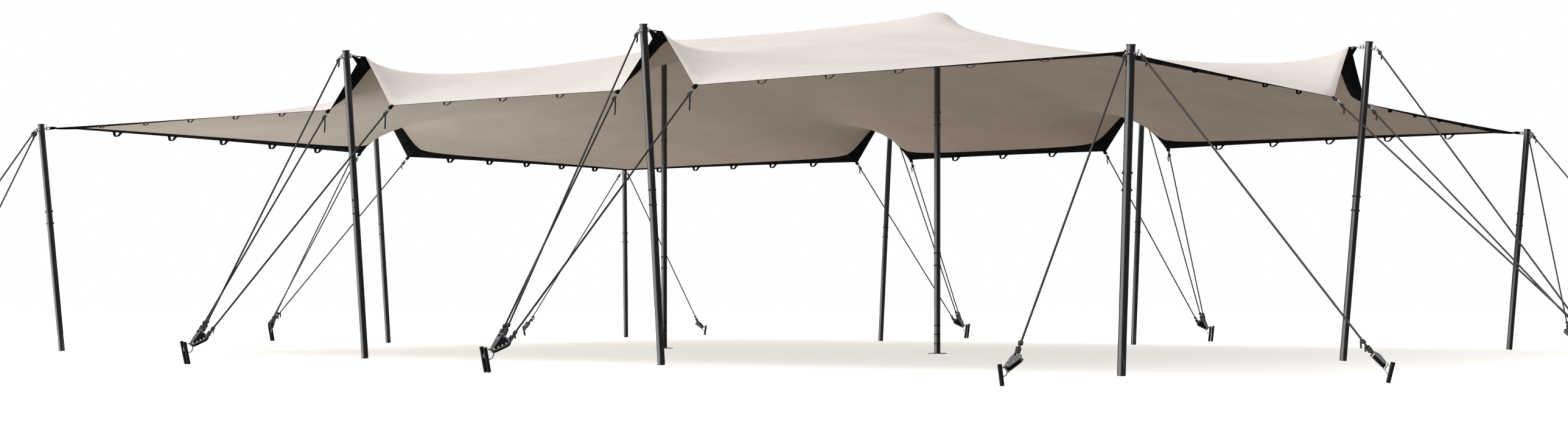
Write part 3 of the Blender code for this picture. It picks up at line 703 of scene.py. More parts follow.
# %% Zinc and powder coat
def galvanised_steel():
    """Bright zinc: spangle of about 6 mm in its tone and its gloss."""
    material, shader = start_material("galvanised steel, bright zinc", {"Metallic": 1.0})
    place = add_node(material, "TexCoord").outputs["Object"]
    spangle = add_node(material, "TexVoronoi", {"Vector": place, "Scale": 160.0})
    tone = add_node(material, "ValToRGB", {"Fac": spangle.outputs["Color"]},
                    [(0.0, linear("#9DA1A4")), (1.0, linear("#CDD0D2"))])
    gloss = add_node(material, "MapRange", {"Value": spangle, "To Min": 0.22, "To Max": 0.45})
    plug(material, shader, {"Base Color": tone, "Roughness": gloss})
    return material


def powder_coat():
    """Satin black powder coat: orange peel at 1.5 mm drawn at 3 mm, and pale scuffs low on the tube."""
    material, shader = start_material(
        "powder coated aluminium tube, satin black", {"Coat Weight": 1.0, "Coat Roughness": 0.12})
    place = add_node(material, "TexCoord").outputs["Object"]
    peel = add_node(material, "TexNoise", {"Vector": place, "Scale": 330.0, "Detail": 2.0})
    stretch = add_node(material, "Mapping", {"Vector": place, "Scale": (60.0, 60.0, 4.0)})
    scratch = add_node(material, "TexNoise", {"Vector": stretch, "Scale": 1.0, "Detail": 5.0})
    height = add_node(material, "SeparateXYZ", {"Vector": place}).outputs["Z"]
    low = add_node(material, "MapRange", {"Value": height, "From Max": 0.5, "To Min": 0.10, "To Max": 0.0})
    edge = add_node(material, "Math", {0: scratch, 1: low}, operation="ADD")
    scuff = add_node(
        material, "ValToRGB", {"Fac": edge}, [(0.64, linear("#0C0D12")), (0.74, linear("#3C3D42"))])
    rough = add_node(material, "MapRange", {"Value": scratch, "To Min": 0.26, "To Max": 0.44})
    bump = add_node(material, "Bump", {"Height": peel, "Strength": 0.12, "Distance": 0.0006})
    plug(material, shader, {"Base Color": scuff, "Roughness": rough, "Normal": bump})
    return material


# %% Rope
YARN_TURN = 0.028


def braided_rope():
    """Black polyester braid: two families of yarns wind opposite ways, and light tracers cross them."""
    material, shader = start_material(
        "braided polyester rope, black with light flecks", {"Roughness": 0.8, "Specular IOR Level": 0.25})
    place = add_node(material, "Attribute", attribute_name="rope_place", attribute_type="GEOMETRY")
    x, y, along = add_node(material, "SeparateXYZ", {"Vector": place.outputs["Vector"]}).outputs
    turn = add_node(material, "Math", {0: y, 1: x}, operation="ARCTAN2")
    run = add_node(material, "Math", {0: along, 1: math.tau / YARN_TURN}, operation="MULTIPLY")
    waves = []
    for way in ("ADD", "SUBTRACT"):
        phase = add_node(material, "Math", {0: run, 1: turn}, operation=way)
        waves.append(add_node(material, "Math", {0: phase}, operation="SINE"))
    cross = add_node(material, "Math", {0: waves[0], 1: waves[1]}, operation="MULTIPLY")
    fleck = add_node(
        material, "ValToRGB", {"Fac": cross}, [(0.25, linear("#272726")), (0.75, linear("#6C6B68"))])
    lay = add_node(material, "Math", {0: run, 1: 4.0, 2: turn}, operation="MULTIPLY_ADD")
    yarn = add_node(material, "Math", {0: lay}, operation="SINE")
    bump = add_node(material, "Bump", {"Height": yarn, "Strength": 0.5, "Distance": 0.0008})
    plug(material, shader, {"Base Color": fleck, "Normal": bump})
    return material


# %% Painted, moulded and rolled finishes
def cast_finish(name, tone, shade, rough, metallic=0.0, grain=220.0, gloss=0.5):
    """Two close tones, and a gloss that varies with them, in a grain of about 5 mm."""
    material, shader = start_material(name, {"Metallic": metallic, "Specular IOR Level": gloss})
    place = add_node(material, "TexCoord").outputs["Object"]
    noise = add_node(
        material, "TexNoise", {"Vector": place, "Scale": grain, "Detail": 5.0, "Roughness": 0.65})
    tint = add_node(material, "ValToRGB", {"Fac": noise}, [(0.38, linear(shade)), (0.64, linear(tone))])
    matt = add_node(material, "MapRange", {"Value": noise, "To Min": rough - 0.1, "To Max": rough + 0.1})
    bump = add_node(material, "Bump", {"Height": noise, "Strength": 0.15, "Distance": 0.001})
    plug(material, shader, {"Base Color": tint, "Roughness": matt, "Normal": bump})
    return material


zinc, tube_paint, rope_braid = galvanised_steel(), powder_coat(), braided_rope()
stake_steel = cast_finish(
    "rolled steel bar, black paint worn", "#101012", "#060607", rough=0.6, gloss=0.25)
welded_plate = cast_finish(
    "welded steel plate, dull blue-grey zinc primer", "#7C7A8A", "#686678", rough=0.6)
blackened = cast_finish("blackened steel bolt", "#2B2B2E", "#161618", rough=0.45, metallic=0.4)
plate_steel = cast_finish(
    "rolled steel plate, grey paint", "#8B8B89", "#6E6E6D", rough=0.5, metallic=0.4, grain=90.0)
cheek_plate = cast_finish(
    "cast aluminium cheek, weathered grey", "#6E6F71", "#4C4D50", rough=0.5, metallic=0.35)
block_core = cast_finish(
    "moulded polyethylene block, black", "#09090A", "#040404", rough=0.75, gloss=0.12)
print("finishes of the hardware made")

# %% [markdown]
# ## Hardware that is used again and again
#
# A bow shackle joins two things that pull in different directions: its pin goes through one and its
# round bow round the other. An eye nut sits where each tube takes a pull. Both are bent bars. The
# same few functions make every one of them, placed by where it is and which way it is pulled.

# %% Shackles, eye nuts and bolts
def shackle(bm, pin, way, side, length, bow, wire=0.0055):
    """A bow shackle with its pin at one end; the bow points along way and lies flat with side."""
    way = way.normalized()
    side = square_to(side, way)
    ear = side * (0.8 * bow)
    points = arc(pin + way * (length - bow - wire), side * -bow, way * bow, 10, math.pi)
    bent_bar(bm, [pin - ear, *points, pin + ear], wire)
    reach = 0.8 * bow + 2.2 * wire
    round_bar(bm, pin, side, -reach, reach, 0.9 * wire, sides=10)
    for sign in (-1, 1):
        round_bar(bm, pin + ear * sign, side * sign, -0.9 * wire, 0.9 * wire, 1.9 * wire)
    round_bar(bm, pin, side, reach, reach + 1.2 * wire, 1.6 * wire, sides=6)


def eye_nut(bm, surface, way, plane):
    """An eye nut on a tube: a flange, a stem and a ring that lies in the plane of way and plane."""
    round_bar(bm, surface, way, -0.008, 0.004, 0.014, sides=16)
    round_bar(bm, surface, way, 0.0, 0.011, 0.008, end_radius=0.006)
    centre = surface + way * 0.021
    bent_bar(bm, arc(centre, way * 0.012, square_to(plane, way) * 0.012, 14), 0.0042, closed=True)
    return centre + way * 0.004


def through_bolt(bm, centre, way, half_width, radius=0.010):
    """A hexagon bolt right through a tube: its head on one side, its nut and thread on the other."""
    for sign in (-1, 1):
        face = centre + way * (sign * half_width)
        round_bar(bm, face, way * sign, -0.004, 0.002, radius * 1.25, sides=16)
        round_bar(bm, face, way * sign, 0.002, 0.009, radius, sides=6)
    round_bar(bm, centre, way, 0.0, half_width + 0.013, radius * 0.5, sides=10)


# %% [markdown]
# ## The poles
#
# Each tube is turned like a lathe piece from half of its outline: foot, the thin line where its two
# lengths meet, and the flat cap. Two bolts cross each joint. The eye nuts, shackles and webbing at
# the head go along the way that each one is pulled. The poles at the two ends have a second shackle,
# and one corner pole has a welded plate for its ropes, where the others have eye nuts.

# %% The outline of a tube
GROOVE_HALF, GROOVE_DEPTH = 0.004, 0.0022
EDGE_CUT, RIM_CUT = 0.003, 0.002
SIDE_JOINT, JOINT_BOLTS = 1.69, (1.62, 1.77)


def tube_profile(start, length, cap, joints):
    outline = [(0.0, start), (POLE_RADIUS - EDGE_CUT, start), (POLE_RADIUS, start + EDGE_CUT)]
    for joint in joints:
        for edge, depth in ((-1.0, 0.0), (-0.5, GROOVE_DEPTH), (0.5, GROOVE_DEPTH), (1.0, 0.0)):
            outline.append((POLE_RADIUS - depth, joint + edge * GROOVE_HALF))
    if cap:
        rim = length - CAP_THICK
        outline += [(POLE_RADIUS, rim), (CAP_RADIUS - RIM_CUT, rim), (CAP_RADIUS, rim + RIM_CUT),
                    (CAP_RADIUS, length - EDGE_CUT), (CAP_RADIUS - EDGE_CUT, length), (0.0, length)]
    return outline


# %% Webbing at the pole heads
def under(point):
    """The place in the hem band right under a point of the net."""
    return point - UP * (FABRIC_THICK / 2 + SEAT_GAP + BAND_THICK / 2)


def webbing_loop(bm, start, bow, across, widths, gap, thick):
    """A strap from start that goes over a shackle's bow and comes back beneath itself."""
    pull = (bow - start).normalized()
    up = pull.cross(square_to(across, pull))
    up = up if up.z > 0 else -up
    half_way, before, past = start.lerp(bow, 0.45), bow - pull * 0.012, bow + pull * 0.004
    path = [start + up * 0.002, half_way + up * (0.4 * gap), before + up * gap, past + up * (0.7 * gap),
            bow + pull * 0.009, past - up * (0.7 * gap), before - up * gap, half_way - up * (0.4 * gap),
            start - up * 0.003]
    strap(bm, path, across, widths + [widths[2]] * 3 + widths[::-1], thick)


def peak_webbing(bm, pole, held, bow):
    """One loop from the top of the peak, and the hem's own webbing drawn in from both sides of it."""
    pull = (bow - held).normalized()
    across = square_to(pole.across, pull)
    webbing_loop(bm, held - pull * 0.02, bow, across, [0.06, 0.035, 0.02], gap=0.009, thick=0.004)
    for side in (-1, 1):
        hem = (under(tie_point(pole, side)) - held).normalized()
        start = held + hem * 0.085 - pole.outward * 0.006 - UP * 0.004
        path = [start, start.lerp(bow, 0.5), bow + pole.across * (side * 0.006)]
        widths = [0.060, 0.040, 0.022] if pole.outward.y else [0.034, 0.030, 0.022]
        strap(bm, path, square_to(hem, (bow - start).normalized()), widths, 0.004)


def inner_corner(pole, inset=0.15):
    """A point of the sheet about 0.2 m in from its corner, on the line that halves the corner."""
    column = int(np.abs(lines_x - math.copysign(FLAT_LENGTH / 2 - inset, pole.top.x)).argmin())
    row = int(np.abs(lines_y - math.copysign(FLAT_WIDTH / 2 - inset, pole.top.y)).argmin())
    return Vector(net[column, row])


def corner_webbing(bm, pole, held, bow):
    """A narrow strap from the corner of the hem, doubled into a pad where it goes round the shackle."""
    sheet, pull = under(inner_corner(pole)) - held, (bow - held).normalized()
    path = [held + sheet * 0.9 - UP * 0.012, held + sheet * 0.35 - UP * 0.013, held - UP * 0.011]
    path += [held.lerp(bow, share) for share in (0.36, 0.56, 0.96)]
    strap(bm, path, square_to(UP, pull), [0.006, 0.015, 0.022, 0.026, 0.037, 0.037], 0.009)
    across = square_to(pole.across, pull)
    webbing_loop(bm, held.lerp(bow, 0.45), bow, across, [0.024, 0.028, 0.024], gap=0.011, thick=0.005)


# %% Build the edge poles
GUSSET_POLE, GUSSET_REACH, GUSSET_THICK = "corner_pole_back_right", 0.060, 0.008
HEAD_SHACKLE = 0.048


def gusset(pole, ways):
    """Two welded wings of plate, one along each rope, in place of eye nuts and shackles."""
    bm = bmesh.new()
    for way in ways:
        side = UP.cross(way)
        near = pole.rope_eye + way * (POLE_RADIUS - 0.004)
        far = pole.rope_eye + way * (POLE_RADIUS + GUSSET_REACH)
        outline = [near + UP * 0.060, near + way * 0.018 + UP * 0.056, far + UP * 0.010, far - UP * 0.024,
                   near - UP * 0.050]
        plate(bm, [corner - side * (GUSSET_THICK / 2) for corner in outline], side * GUSSET_THICK)
    bmesh.ops.recalc_face_normals(bm, faces=bm.faces[:])
    bmesh.ops.bevel(
        bm, geom=bm.edges[:], offset=0.0012, segments=2, profile=0.5, affect="EDGES", material=-1)
    make_piece(pole.name + "_gusset", bm, [welded_plate], sharp=30)


def rope_shackle(pole, way):
    """Where the shackle of a pole's rope has its pin, and the way that it hangs."""
    return pole.rope_eye + way * (POLE_RADIUS + 0.025), (way - UP * 0.45).normalized()


def dress_pole(pole, held, rope_ways, webbing_maker):
    length = (pole.top - pole.foot).length - POLE_RADIUS * math.tan(math.acos(pole.axis.z))
    base = pole.top - pole.axis * length
    bm = bmesh.new()
    place = Matrix.Translation(base) @ frame_along(pole.axis, pole.across)
    turned(bm, tube_profile(0.0, length, True, [SIDE_JOINT]), 40, place)
    make_piece(pole.name + "_tube", bm, [tube_paint], [pole.name])
    bm = bmesh.new()
    for height in JOINT_BOLTS:
        for way in (pole.across, pole.axis.cross(pole.across)):
            through_bolt(bm, base + pole.axis * height, way, POLE_RADIUS)
    make_piece(pole.name + "_bolts", bm, [blackened])
    bm = bmesh.new()
    pull = (held - pole.fabric_eye).normalized()
    pin = eye_nut(bm, pole.fabric_eye + pull * POLE_RADIUS, pull, pole.across)
    shackle(bm, pin, pull, UP, length=0.052, bow=0.015)
    if pole.name.startswith("side_pole_end"):
        pin += pull * 0.036
        shackle(bm, pin, pull, pole.across, length=0.050, bow=0.015)
    if pole.name == GUSSET_POLE:
        gusset(pole, rope_ways)
    else:
        for way in rope_ways:
            eye_nut(bm, pole.rope_eye + way * POLE_RADIUS, way, UP.cross(way))
            shackle(bm, *rope_shackle(pole, way), UP, HEAD_SHACKLE, bow=0.014)
    make_piece(pole.name + "_fittings", bm, [zinc])
    bm = bmesh.new()
    webbing_maker(bm, pole, held, pin + pull * 0.040)
    make_piece(pole.name + "_webbing", bm, [webbing], sharp=30)


for pole in sides.values():
    dress_pole(pole, under(peak_point(pole)), [pole.outward], peak_webbing)
for (sx, sy), pole in corners.items():
    dress_pole(pole, under(corner_tip(pole)), [Vector((sx, 0, 0)), Vector((0, sy, 0))], corner_webbing)
print(len(sides) + len(corners), "edge poles dressed")

# %% [markdown]
# ### The king poles
#
# The two inner poles stand upright on round plates and push the roof up with a domed head, so that
# no edge can cut the fabric. Three bands of tape ring each one above its plate.

# %% Build the king poles and their plates
KING_TUBE_START, KING_JOINTS, KING_BOLTS = 0.0083, (1.145, 2.85), (1.07, 1.22, 2.775, 2.925)
TAPE_HEIGHTS, TAPE_HALF, TAPE_THICK = (0.12, 0.235, 0.345), 0.006, 0.0016
KING_HEAD = [(0.038, -0.055), (0.054, -0.055), (0.060, -0.050), (0.060, -0.034), (0.052, -0.027),
             (0.03, -0.014), (0.0, 0.0)]
KING_DISC = [(0.0, 0.0), (0.113, 0.0), (0.115, 0.0015), (0.115, 0.0065), (0.113, 0.008), (0.0, 0.008)]


def dress_king(pole):
    place = Matrix.Translation(pole.foot)
    head = KING_PEAK_HEIGHT - FABRIC_THICK / 2 - SEAT_GAP
    outline = tube_profile(KING_TUBE_START, 0.0, False, KING_JOINTS)
    bm = bmesh.new()
    turned(bm, outline + [(radius, head + below) for radius, below in KING_HEAD], 40, place)
    for band in TAPE_HEIGHTS:
        inner, outer, edge = POLE_RADIUS - 0.002, POLE_RADIUS + TAPE_THICK, TAPE_HALF - 0.0005
        tape = [(inner, band - TAPE_HALF), (outer, band - edge),
                (outer, band + edge), (inner, band + TAPE_HALF)]
        turned(bm, tape + tape[:1], 40, place, finish=1)
    make_piece(pole.name + "_tube", bm, [tube_paint, block_core], [pole.name])
    bm = bmesh.new()
    for height in KING_BOLTS:
        for way in (Vector((1, 0, 0)), Vector((0, 1, 0))):
            through_bolt(bm, pole.foot + UP * height, way, POLE_RADIUS)
    make_piece(pole.name + "_bolts", bm, [blackened])
    bm = bmesh.new()
    turned(bm, KING_DISC, 64, place)
    name = pole.name.replace("pole", "base_plate")
    make_piece(name + "_disc", bm, [plate_steel], [name], sharp=25)


for pole in kings.values():
    dress_king(pole)
print(len(kings), "king poles dressed")

# %% [markdown]
# ## Guys: ropes, knots, rigging blocks and stakes
#
# At a side pole three ropes meet in one rigging block: one from the pole head and one from each tie
# beside it. The block is a stack of plates, two grey cheeks on a black core. On the larger blocks a
# thin black patch on each cheek face is painted shade. A shackle holds it to two stakes. Each corner
# pole has two single guys, with one stake each. A taut rope is straight, so all its character is in
# its ends: the coils of the knot, each as thick as the rope, and a loose tail that hangs down.

# %% Sizes of the anchors
# A way is given as how far it goes right, seen from outside, inwards and up. Seats, bolts and the
# corners of the painted shade patch are places on the block, across it and along it. A stake has its
# place across the guy and its height. The rest are in metres: the block's size, the ring's radius,
# how far out the stakes stand from the pole's head, and how high on them the ring lies.
SIDE_ANCHOR = {
    "wide": 0.150, "length": 0.175, "ring": 0.045, "reach": 2.29, "hook": 0.135,
    "along": (0.45, 0.57, 0.68), "across": (0.78, 0.0, -0.62),
    "stakes": [(-0.022, 0.24), (0.022, 0.232)],
    "seats": [(-0.058, 0.138), (-0.028, 0.155), (0.050, 0.142)],
    "bolts": [(0.012, 0.016), (0.030, 0.054), (0.043, 0.092), (0.056, 0.130), (-0.046, 0.110)],
    "window": [(0.021, 0.010), (0.069, 0.138), (0.060, 0.156), (0.004, 0.164), (-0.030, 0.140),
               (-0.002, 0.024)],
}
CORNER_ANCHOR = {
    "wide": 0.095, "length": 0.155, "ring": 0.034, "reach": 2.26, "hook": 0.09,
    "along": (0.32, 0.72, 0.62), "across": (1.0, 0.0, 0.0),
    "stakes": [(0.0, 0.17)],
    "seats": [(-0.026, 0.140)],
    "bolts": [(0.0, 0.018), (0.02375, 0.0651), (-0.02375, 0.0651), (0.03705, 0.124), (-0.03705, 0.124),
              (0.0, 0.1395)],
}
STAKE_RADIUS, STAKE_LEAN, STAKE_RING_WIRE = 0.018, math.radians(14), 0.008


class Anchor:
    """Where a guy's stakes, ring and rigging block sit, in line from the stakes towards its ropes."""

    def __init__(self, pole, outward, sizes):
        self.sizes, self.outward, self.across = sizes, outward, UP.cross(outward)
        slip = self.across * (pole.top - pole.nominal_top).dot(self.across)
        self.foot = at_height(pole.nominal_top + outward * sizes["reach"] + slip, 0.0)
        self.stake_axis = UP * math.cos(STAKE_LEAN) + outward * math.sin(STAKE_LEAN)
        hook = self.foot + self.stake_axis * (sizes["hook"] / math.cos(STAKE_LEAN))
        self.length_axis = self.way(sizes["along"])
        self.width_axis = square_to(self.way(sizes["across"]), self.length_axis)
        self.ring_centre = hook + self.length_axis * sizes["ring"]
        self.start = self.ring_centre + self.length_axis * (sizes["ring"] + STAKE_RING_WIRE + SEAT_GAP)

    def way(self, parts):
        return (self.across * parts[0] - self.outward * parts[1] + UP * parts[2]).normalized()

    def seat(self, place):
        return self.start + self.width_axis * place[0] + self.length_axis * place[1]


# %% Ropes with their knots
# A loose tail goes a little aside on its way down: metres aside, and the share of its length.
ROPE_RADIUS, KNOT_STEPS = 0.0095, 10
TAIL_BENDS = ((0.0, 0.0), (0.004, 0.25), (0.001, 0.6), (-0.004, 1.0))


def rope_knot(bm, start, way, turns, pitch, swell, tail):
    """Coils wound round the rope from start along way, and a tail that leaves them and hangs down."""
    across = square_to(UP.cross(way), way)
    up = way.cross(across)
    path = []
    for k in range(turns * KNOT_STEPS + 1):
        wide = swell + 0.0025 * math.sin(math.pi * k / (turns * KNOT_STEPS))
        turn = math.tau * k / KNOT_STEPS
        around = across * math.cos(turn) + up * math.sin(turn)
        path.append(start + way * (pitch * k / KNOT_STEPS) + around * wide)
    leave = path[-1] + across * 0.008 + way * 0.004
    path += [leave + across * aside - UP * (share * tail) for aside, share in TAIL_BENDS]
    bent_bar(bm, path, ROPE_RADIUS * 0.93, rope=True)


def guy_rope(bm, start, seat, tail):
    """A taut rope, the eye that goes round a shackle at its start, and a knot there and two at its seat."""
    way = (seat - start).normalized()
    bent_bar(bm, [start + way * 0.02, start.lerp(seat, 0.5), seat], ROPE_RADIUS, sides=12, rope=True)
    eye = arc(start + way * 0.014, way * 0.017, square_to(UP.cross(way), way) * 0.012, 14)
    bent_bar(bm, eye, ROPE_RADIUS * 0.9, closed=True, rope=True)
    rope_knot(bm, start + way * 0.026, way, turns=2, pitch=0.0145, swell=0.0115, tail=tail)
    rope_knot(bm, seat - way * 0.020, -way, turns=4, pitch=0.0165, swell=0.0125, tail=0.05)
    rope_knot(bm, seat - way * 0.115, -way, turns=2, pitch=0.0155, swell=0.0105, tail=0.07)


# %% Rigging blocks
# A bar through a block is given as half its length, its radius and its number of sides. Each bolt
# is two bars, the nut and the washer under it.
CORE_HALF, CHEEK_FACE, CORE_SCALE, CORNER_ROUND = 0.016, 0.0215, 0.93, 0.012
SHADE_PATCH_FACE, SHADE_PATCH_THICK = 0.0205, 0.0014
BOLT_BARS, SEAT_BAR = [(0.0255, 0.0062, 6), (0.0230, 0.0085, 14)], (0.0235, 0.0105, 16)


def block_plate(bm, outline, low, high, scale, place, finish):
    """One plate of a block, with rounded corners, from low to high through its thickness."""
    rim = plate(bm, [(x * scale, low, 0.004 + (z - 0.004) * scale) for x, z in outline], (0, high - low, 0))
    uprights = [edge for edge in {edge for corner in rim for edge in corner.link_edges}
                if abs(edge.verts[0].co.y - edge.verts[1].co.y) > 0.001]
    rounded = bmesh.ops.bevel(
        bm, geom=uprights, offset=CORNER_ROUND, segments=4, profile=0.5, affect="EDGES", material=-1)
    island = joined_to(rounded["verts"][0])
    face_outwards(bm, island, finish)
    bmesh.ops.transform(bm, matrix=place, verts=island)


def rigging_block(bm, anchor):
    """Two grey cheeks on a black core that is a little smaller, with bright bolts and the ropes' seats."""
    half, length = anchor.sizes["wide"] / 2, anchor.sizes["length"]
    outline = [(0.025, 0.0), (0.97 * half, 0.70 * length), (half, 0.85 * length), (0.8 * half, length)]
    outline += [(-x, z) for x, z in reversed(outline)]
    place = Matrix.Translation(anchor.start) @ frame_along(anchor.length_axis, anchor.width_axis)
    block_plate(bm, outline, -CORE_HALF, CORE_HALF, CORE_SCALE, place, 1)
    block_plate(bm, outline, -CHEEK_FACE, -CORE_HALF, 1.0, place, 0)
    block_plate(bm, outline, CORE_HALF, CHEEK_FACE, 1.0, place, 0)
    thick = anchor.length_axis.cross(anchor.width_axis)
    # A thin black patch on each cheek face of the larger blocks is painted shade.
    if "window" in anchor.sizes:
        for side in (-1, 1):
            shade_patch_outline = [anchor.seat(spot) + thick * (side * SHADE_PATCH_FACE) for spot in anchor.sizes["window"]]
            face_outwards(bm, plate(bm, shade_patch_outline, thick * (side * SHADE_PATCH_THICK)), 1)
    bars = [(spot, *bar, 2) for spot in anchor.sizes["bolts"] for bar in BOLT_BARS]
    bars += [(spot, *SEAT_BAR, 1) for spot in anchor.sizes["seats"]]
    for spot, reach, radius, sides, finish in bars:
        round_bar(bm, anchor.seat(spot), thick, -reach, reach, radius, sides=sides, finish=finish)


# %% Stakes and the shackle that holds a block to them
STAKE_HEAD = [(STAKE_RADIUS, -0.022), (0.0188, -0.008), (0.0190, -0.003), (0.0165, 0.0), (0.0, 0.0)]


def stake(bm, anchor, offset, height):
    """One driven stake: a round bar whose head has spread a little under the hammer."""
    foot = anchor.foot + anchor.across * offset + UP * (STAKE_RADIUS * math.sin(STAKE_LEAN))
    outline = [(0.0, 0.0), (STAKE_RADIUS, 0.0)]
    outline += [(radius, height + below) for radius, below in STAKE_HEAD]
    turned(bm, outline, 24, Matrix.Translation(foot) @ frame_along(anchor.stake_axis))


def anchor_shackle(bm, anchor):
    """The big bow shackle round the stakes, its pin through the neck of the block."""
    way = anchor.length_axis * anchor.sizes["ring"]
    up = square_to(UP, anchor.length_axis)
    ring = arc(anchor.ring_centre, way, up * anchor.sizes["ring"], 24)
    bent_bar(bm, ring, 0.0056, sides=10, closed=True, finish=1)
    for low, high, radius, sides in (
            (-0.024, 0.024, 0.0085, 12), (0.024, 0.034, 0.013, 6), (-0.030, -0.024, 0.013, 16)):
        round_bar(bm, anchor.ring_centre + way, up, low, high, radius, sides=sides, finish=1)


def dress_anchor(name, anchor, node):
    bm = bmesh.new()
    rigging_block(bm, anchor)
    make_piece(name + "_block", bm, [cheek_plate, block_core, zinc], [name], sharp=35)
    bm = bmesh.new()
    for offset, height in anchor.sizes["stakes"]:
        stake(bm, anchor, offset, height)
    anchor_shackle(bm, anchor)
    make_piece(name + "_stakes", bm, [stake_steel, zinc], [node])


# %% Build the guys of the side poles
LONG_TAIL, SHORT_TAIL, HEAD_TAIL = 0.15, 0.07, 0.055
TIE_SHACKLE_PIN, TIE_ROPE_START = 0.096, 0.094


def rope_start(pole, way):
    """The tip of the shackle, or the edge of the gusset, that a pole's rope goes round."""
    if pole.name == GUSSET_POLE:
        return pole.rope_eye + way * (POLE_RADIUS + 0.036) - UP * 0.004
    pin, hang = rope_shackle(pole, way)
    return pin + hang * (HEAD_SHACKLE - 0.008)


def tie_loop(bm, held, pull, across, up):
    """The doubled strap at a tie of the hem, which a small shackle hangs in."""
    upper = [(-0.01, 0.006), (0.035, 0.012), (0.052, 0.006), (0.056, 0.0)]
    steps = upper + [(out, -rise) for out, rise in upper[2::-1]]
    strap(bm, [held + pull * out + up * rise for out, rise in steps], across, 0.045, 0.003)


for pole in sides.values():
    name = pole.name.replace("side_pole", "side_guys")
    anchor = Anchor(pole, pole.outward, SIDE_ANCHOR)
    left_seat, pole_seat, right_seat = (anchor.seat(spot) for spot in SIDE_ANCHOR["seats"])
    bm, tie_steel, tie_webbing = bmesh.new(), bmesh.new(), bmesh.new()
    guy_rope(bm, rope_start(pole, pole.outward), pole_seat, HEAD_TAIL)
    for side, seat in ((-1, left_seat), (1, right_seat)):
        held = under(tie_point(pole, side))
        pull = (seat - held).normalized()
        across = square_to(pole.across, pull)
        up = pull.cross(across)
        tie_loop(tie_webbing, held, pull, across, up)
        pin = held + pull * TIE_SHACKLE_PIN
        shackle(tie_steel, pin, -pull, up, length=0.052, bow=0.013, wire=0.0048)
        tail = LONG_TAIL if pole.outward.y < 0 else SHORT_TAIL
        guy_rope(bm, held + pull * TIE_ROPE_START, seat, tail)
    make_piece(name + "_ropes", bm, [rope_braid], [name])
    make_piece(name + "_tie_shackles", tie_steel, [zinc])
    make_piece(name + "_tie_webbing", tie_webbing, [webbing], sharp=30)
    dress_anchor(name, anchor, pole.name.replace("side_pole", "stake_pair"))

# %% Build the guys of the corner poles
for (sx, sy), pole in corners.items():
    for ending, way in (("_along", Vector((sx, 0, 0))), ("_across", Vector((0, sy, 0)))):
        name = pole.name.replace("corner_pole", "corner_guy") + ending
        anchor = Anchor(pole, way, CORNER_ANCHOR)
        bm = bmesh.new()
        guy_rope(bm, rope_start(pole, way), anchor.seat(CORNER_ANCHOR["seats"][0]), HEAD_TAIL)
        make_piece(name + "_rope", bm, [rope_braid], [name])
        dress_anchor(name, anchor, pole.name.replace("corner_pole", "corner_stake") + ending)
print("guys and anchors made")

# %% [markdown]
# ### The roof is a sheet of cloth
#
# The roof above is one sheet, cut as a flat rectangle of 15 m by 10.5 m and held at the poles and
# the ties.

# %% [markdown]
# ## Floor and light
#
# The tent stands on a plain pale floor in front of a white background. Glossy black tubes show
# what is around them, so the surroundings are what draws their shape. A white floor would turn them
# grey, so reflections look through it: they see a dark studio with one bright panel to the left of
# the camera, which gives each tube its long highlight, and a softer light overhead for the steel.
# Everything else is lit by a pale dome, a soft sun and a low panel on the left. A wide soft light
# on the floor under the left half, a little cool, lifts the underside there, which darkens slowly
# towards the right.

# %% Floor
FLOOR_HALF, FLOOR_DROP = 90.0, 0.001

bm = bmesh.new()
bmesh.ops.create_grid(bm, x_segments=1, y_segments=1, size=FLOOR_HALF)
floor_mesh = bpy.data.meshes.new("studio_floor")
bm.to_mesh(floor_mesh)
bm.free()
floor = bpy.data.objects.new("studio_floor", floor_mesh)
floor_paint, shader = start_material("matt white studio floor", {
    "Base Color": linear("#CCCAC7"), "Roughness": 0.95, "Specular IOR Level": 0.1,
    "Emission Color": linear("#FFFDFA"), "Emission Strength": 0.58})
reflected = add_node(floor_paint, "LightPath").outputs["Is Glossy Ray"]
clear = add_node(floor_paint, "BsdfTransparent")
paint = add_node(floor_paint, "MixShader", {0: reflected, 1: shader, 2: clear})
plug(floor_paint, floor_paint.node_tree.nodes["Material Output"], {"Surface": paint})
floor.data.materials.append(floor_paint)
floor.location.z = -FLOOR_DROP
bpy.context.collection.objects.link(floor)

# %% Surroundings
sky = bpy.data.worlds.new("studio_surroundings")
sky.use_nodes = True
outwards = add_node(sky, "TexCoord").outputs["Generated"]
height = add_node(sky, "SeparateXYZ", {"Vector": outwards}).outputs["Z"]


def fade(value, start, end, low, high):
    """A smooth step of a value from one brightness to another."""
    return add_node(sky, "MapRange", {
        "Value": value, "From Min": start, "From Max": end, "To Min": low, "To Max": high,
    }, interpolation_type="SMOOTHSTEP")


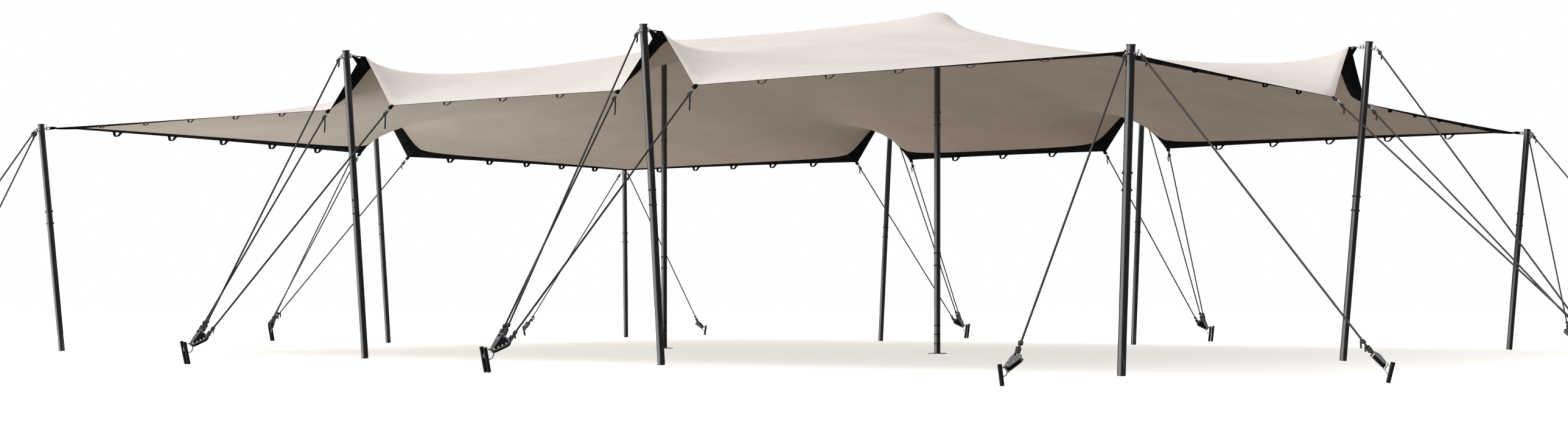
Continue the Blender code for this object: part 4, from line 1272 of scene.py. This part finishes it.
def surroundings(towards, start, end, panel, panel_heights, dome_heights, dome):
    """A background of a bright panel, limited in height, on a dome that brightens upwards."""
    side = add_node(sky, "VectorMath", {0: outwards, 1: towards}, operation="DOT_PRODUCT").outputs["Value"]
    strength = add_node(sky, "Math", {
        0: fade(side, start, end, 0.0, panel), 1: fade(height, *panel_heights, 1.0, 0.0),
        2: fade(height, *dome_heights, *dome),
    }, operation="MULTIPLY_ADD")
    return add_node(sky, "Background", {"Color": linear("#FFFCFA"), "Strength": strength})


lighting = surroundings(
    (-0.50, -0.86, 0.0), start=0.48, end=0.70, panel=5.0, panel_heights=(0.12, 0.26),
    dome_heights=(0.05, 0.85), dome=(0.20, 0.90))
mirrored = surroundings(
    (-0.574, -0.820, 0.0), start=0.62, end=0.86, panel=3.0, panel_heights=(0.30, 0.55),
    dome_heights=(0.15, 0.60), dome=(0.10, 1.00))
white = add_node(sky, "Background", {"Color": linear("#FFFFFF"), "Strength": 1.0})
ray = add_node(sky, "LightPath").outputs
seen = add_node(sky, "MixShader", {0: ray["Is Glossy Ray"], 1: lighting, 2: mirrored})
seen = add_node(sky, "MixShader", {0: ray["Is Camera Ray"], 1: seen, 2: white})
plug(sky, sky.node_tree.nodes["World Output"], {"Surface": seen})
bpy.context.scene.world = sky

# %% Lamps
def add_lamp(name, kind, energy, place, towards, **settings):
    data = bpy.data.lights.new(name, kind)
    data.energy = energy
    for setting, value in settings.items():
        setattr(data, setting, value)
    lamp = bpy.data.objects.new(name, data)
    lamp.location = place
    lamp.rotation_euler = (Vector(towards) - Vector(place)).to_track_quat("-Z", "Y").to_euler()
    lamp.visible_camera = lamp.visible_glossy = False
    bpy.context.collection.objects.link(lamp)


add_lamp("soft_sun", "SUN", 1.35, (-9.0, -3.0, 14.0), (0.0, 0.0, 0.0), angle=math.radians(35))
add_lamp("low_panel_left", "AREA", 2700.0, (-17.5, -1.0, 0.7), (-5.0, -1.0, 1.9),
         shape="RECTANGLE", size=12.0, size_y=1.2)
add_lamp("floor_light_left", "AREA", 330.0, (-6.6, -1.8, 0.02), (-6.6, -1.8, 1.0), color=(0.74, 0.90, 1.0),
         shape="RECTANGLE", size=5.0, size_y=8.0)
bpy.context.scene.view_settings.view_transform = "Standard"
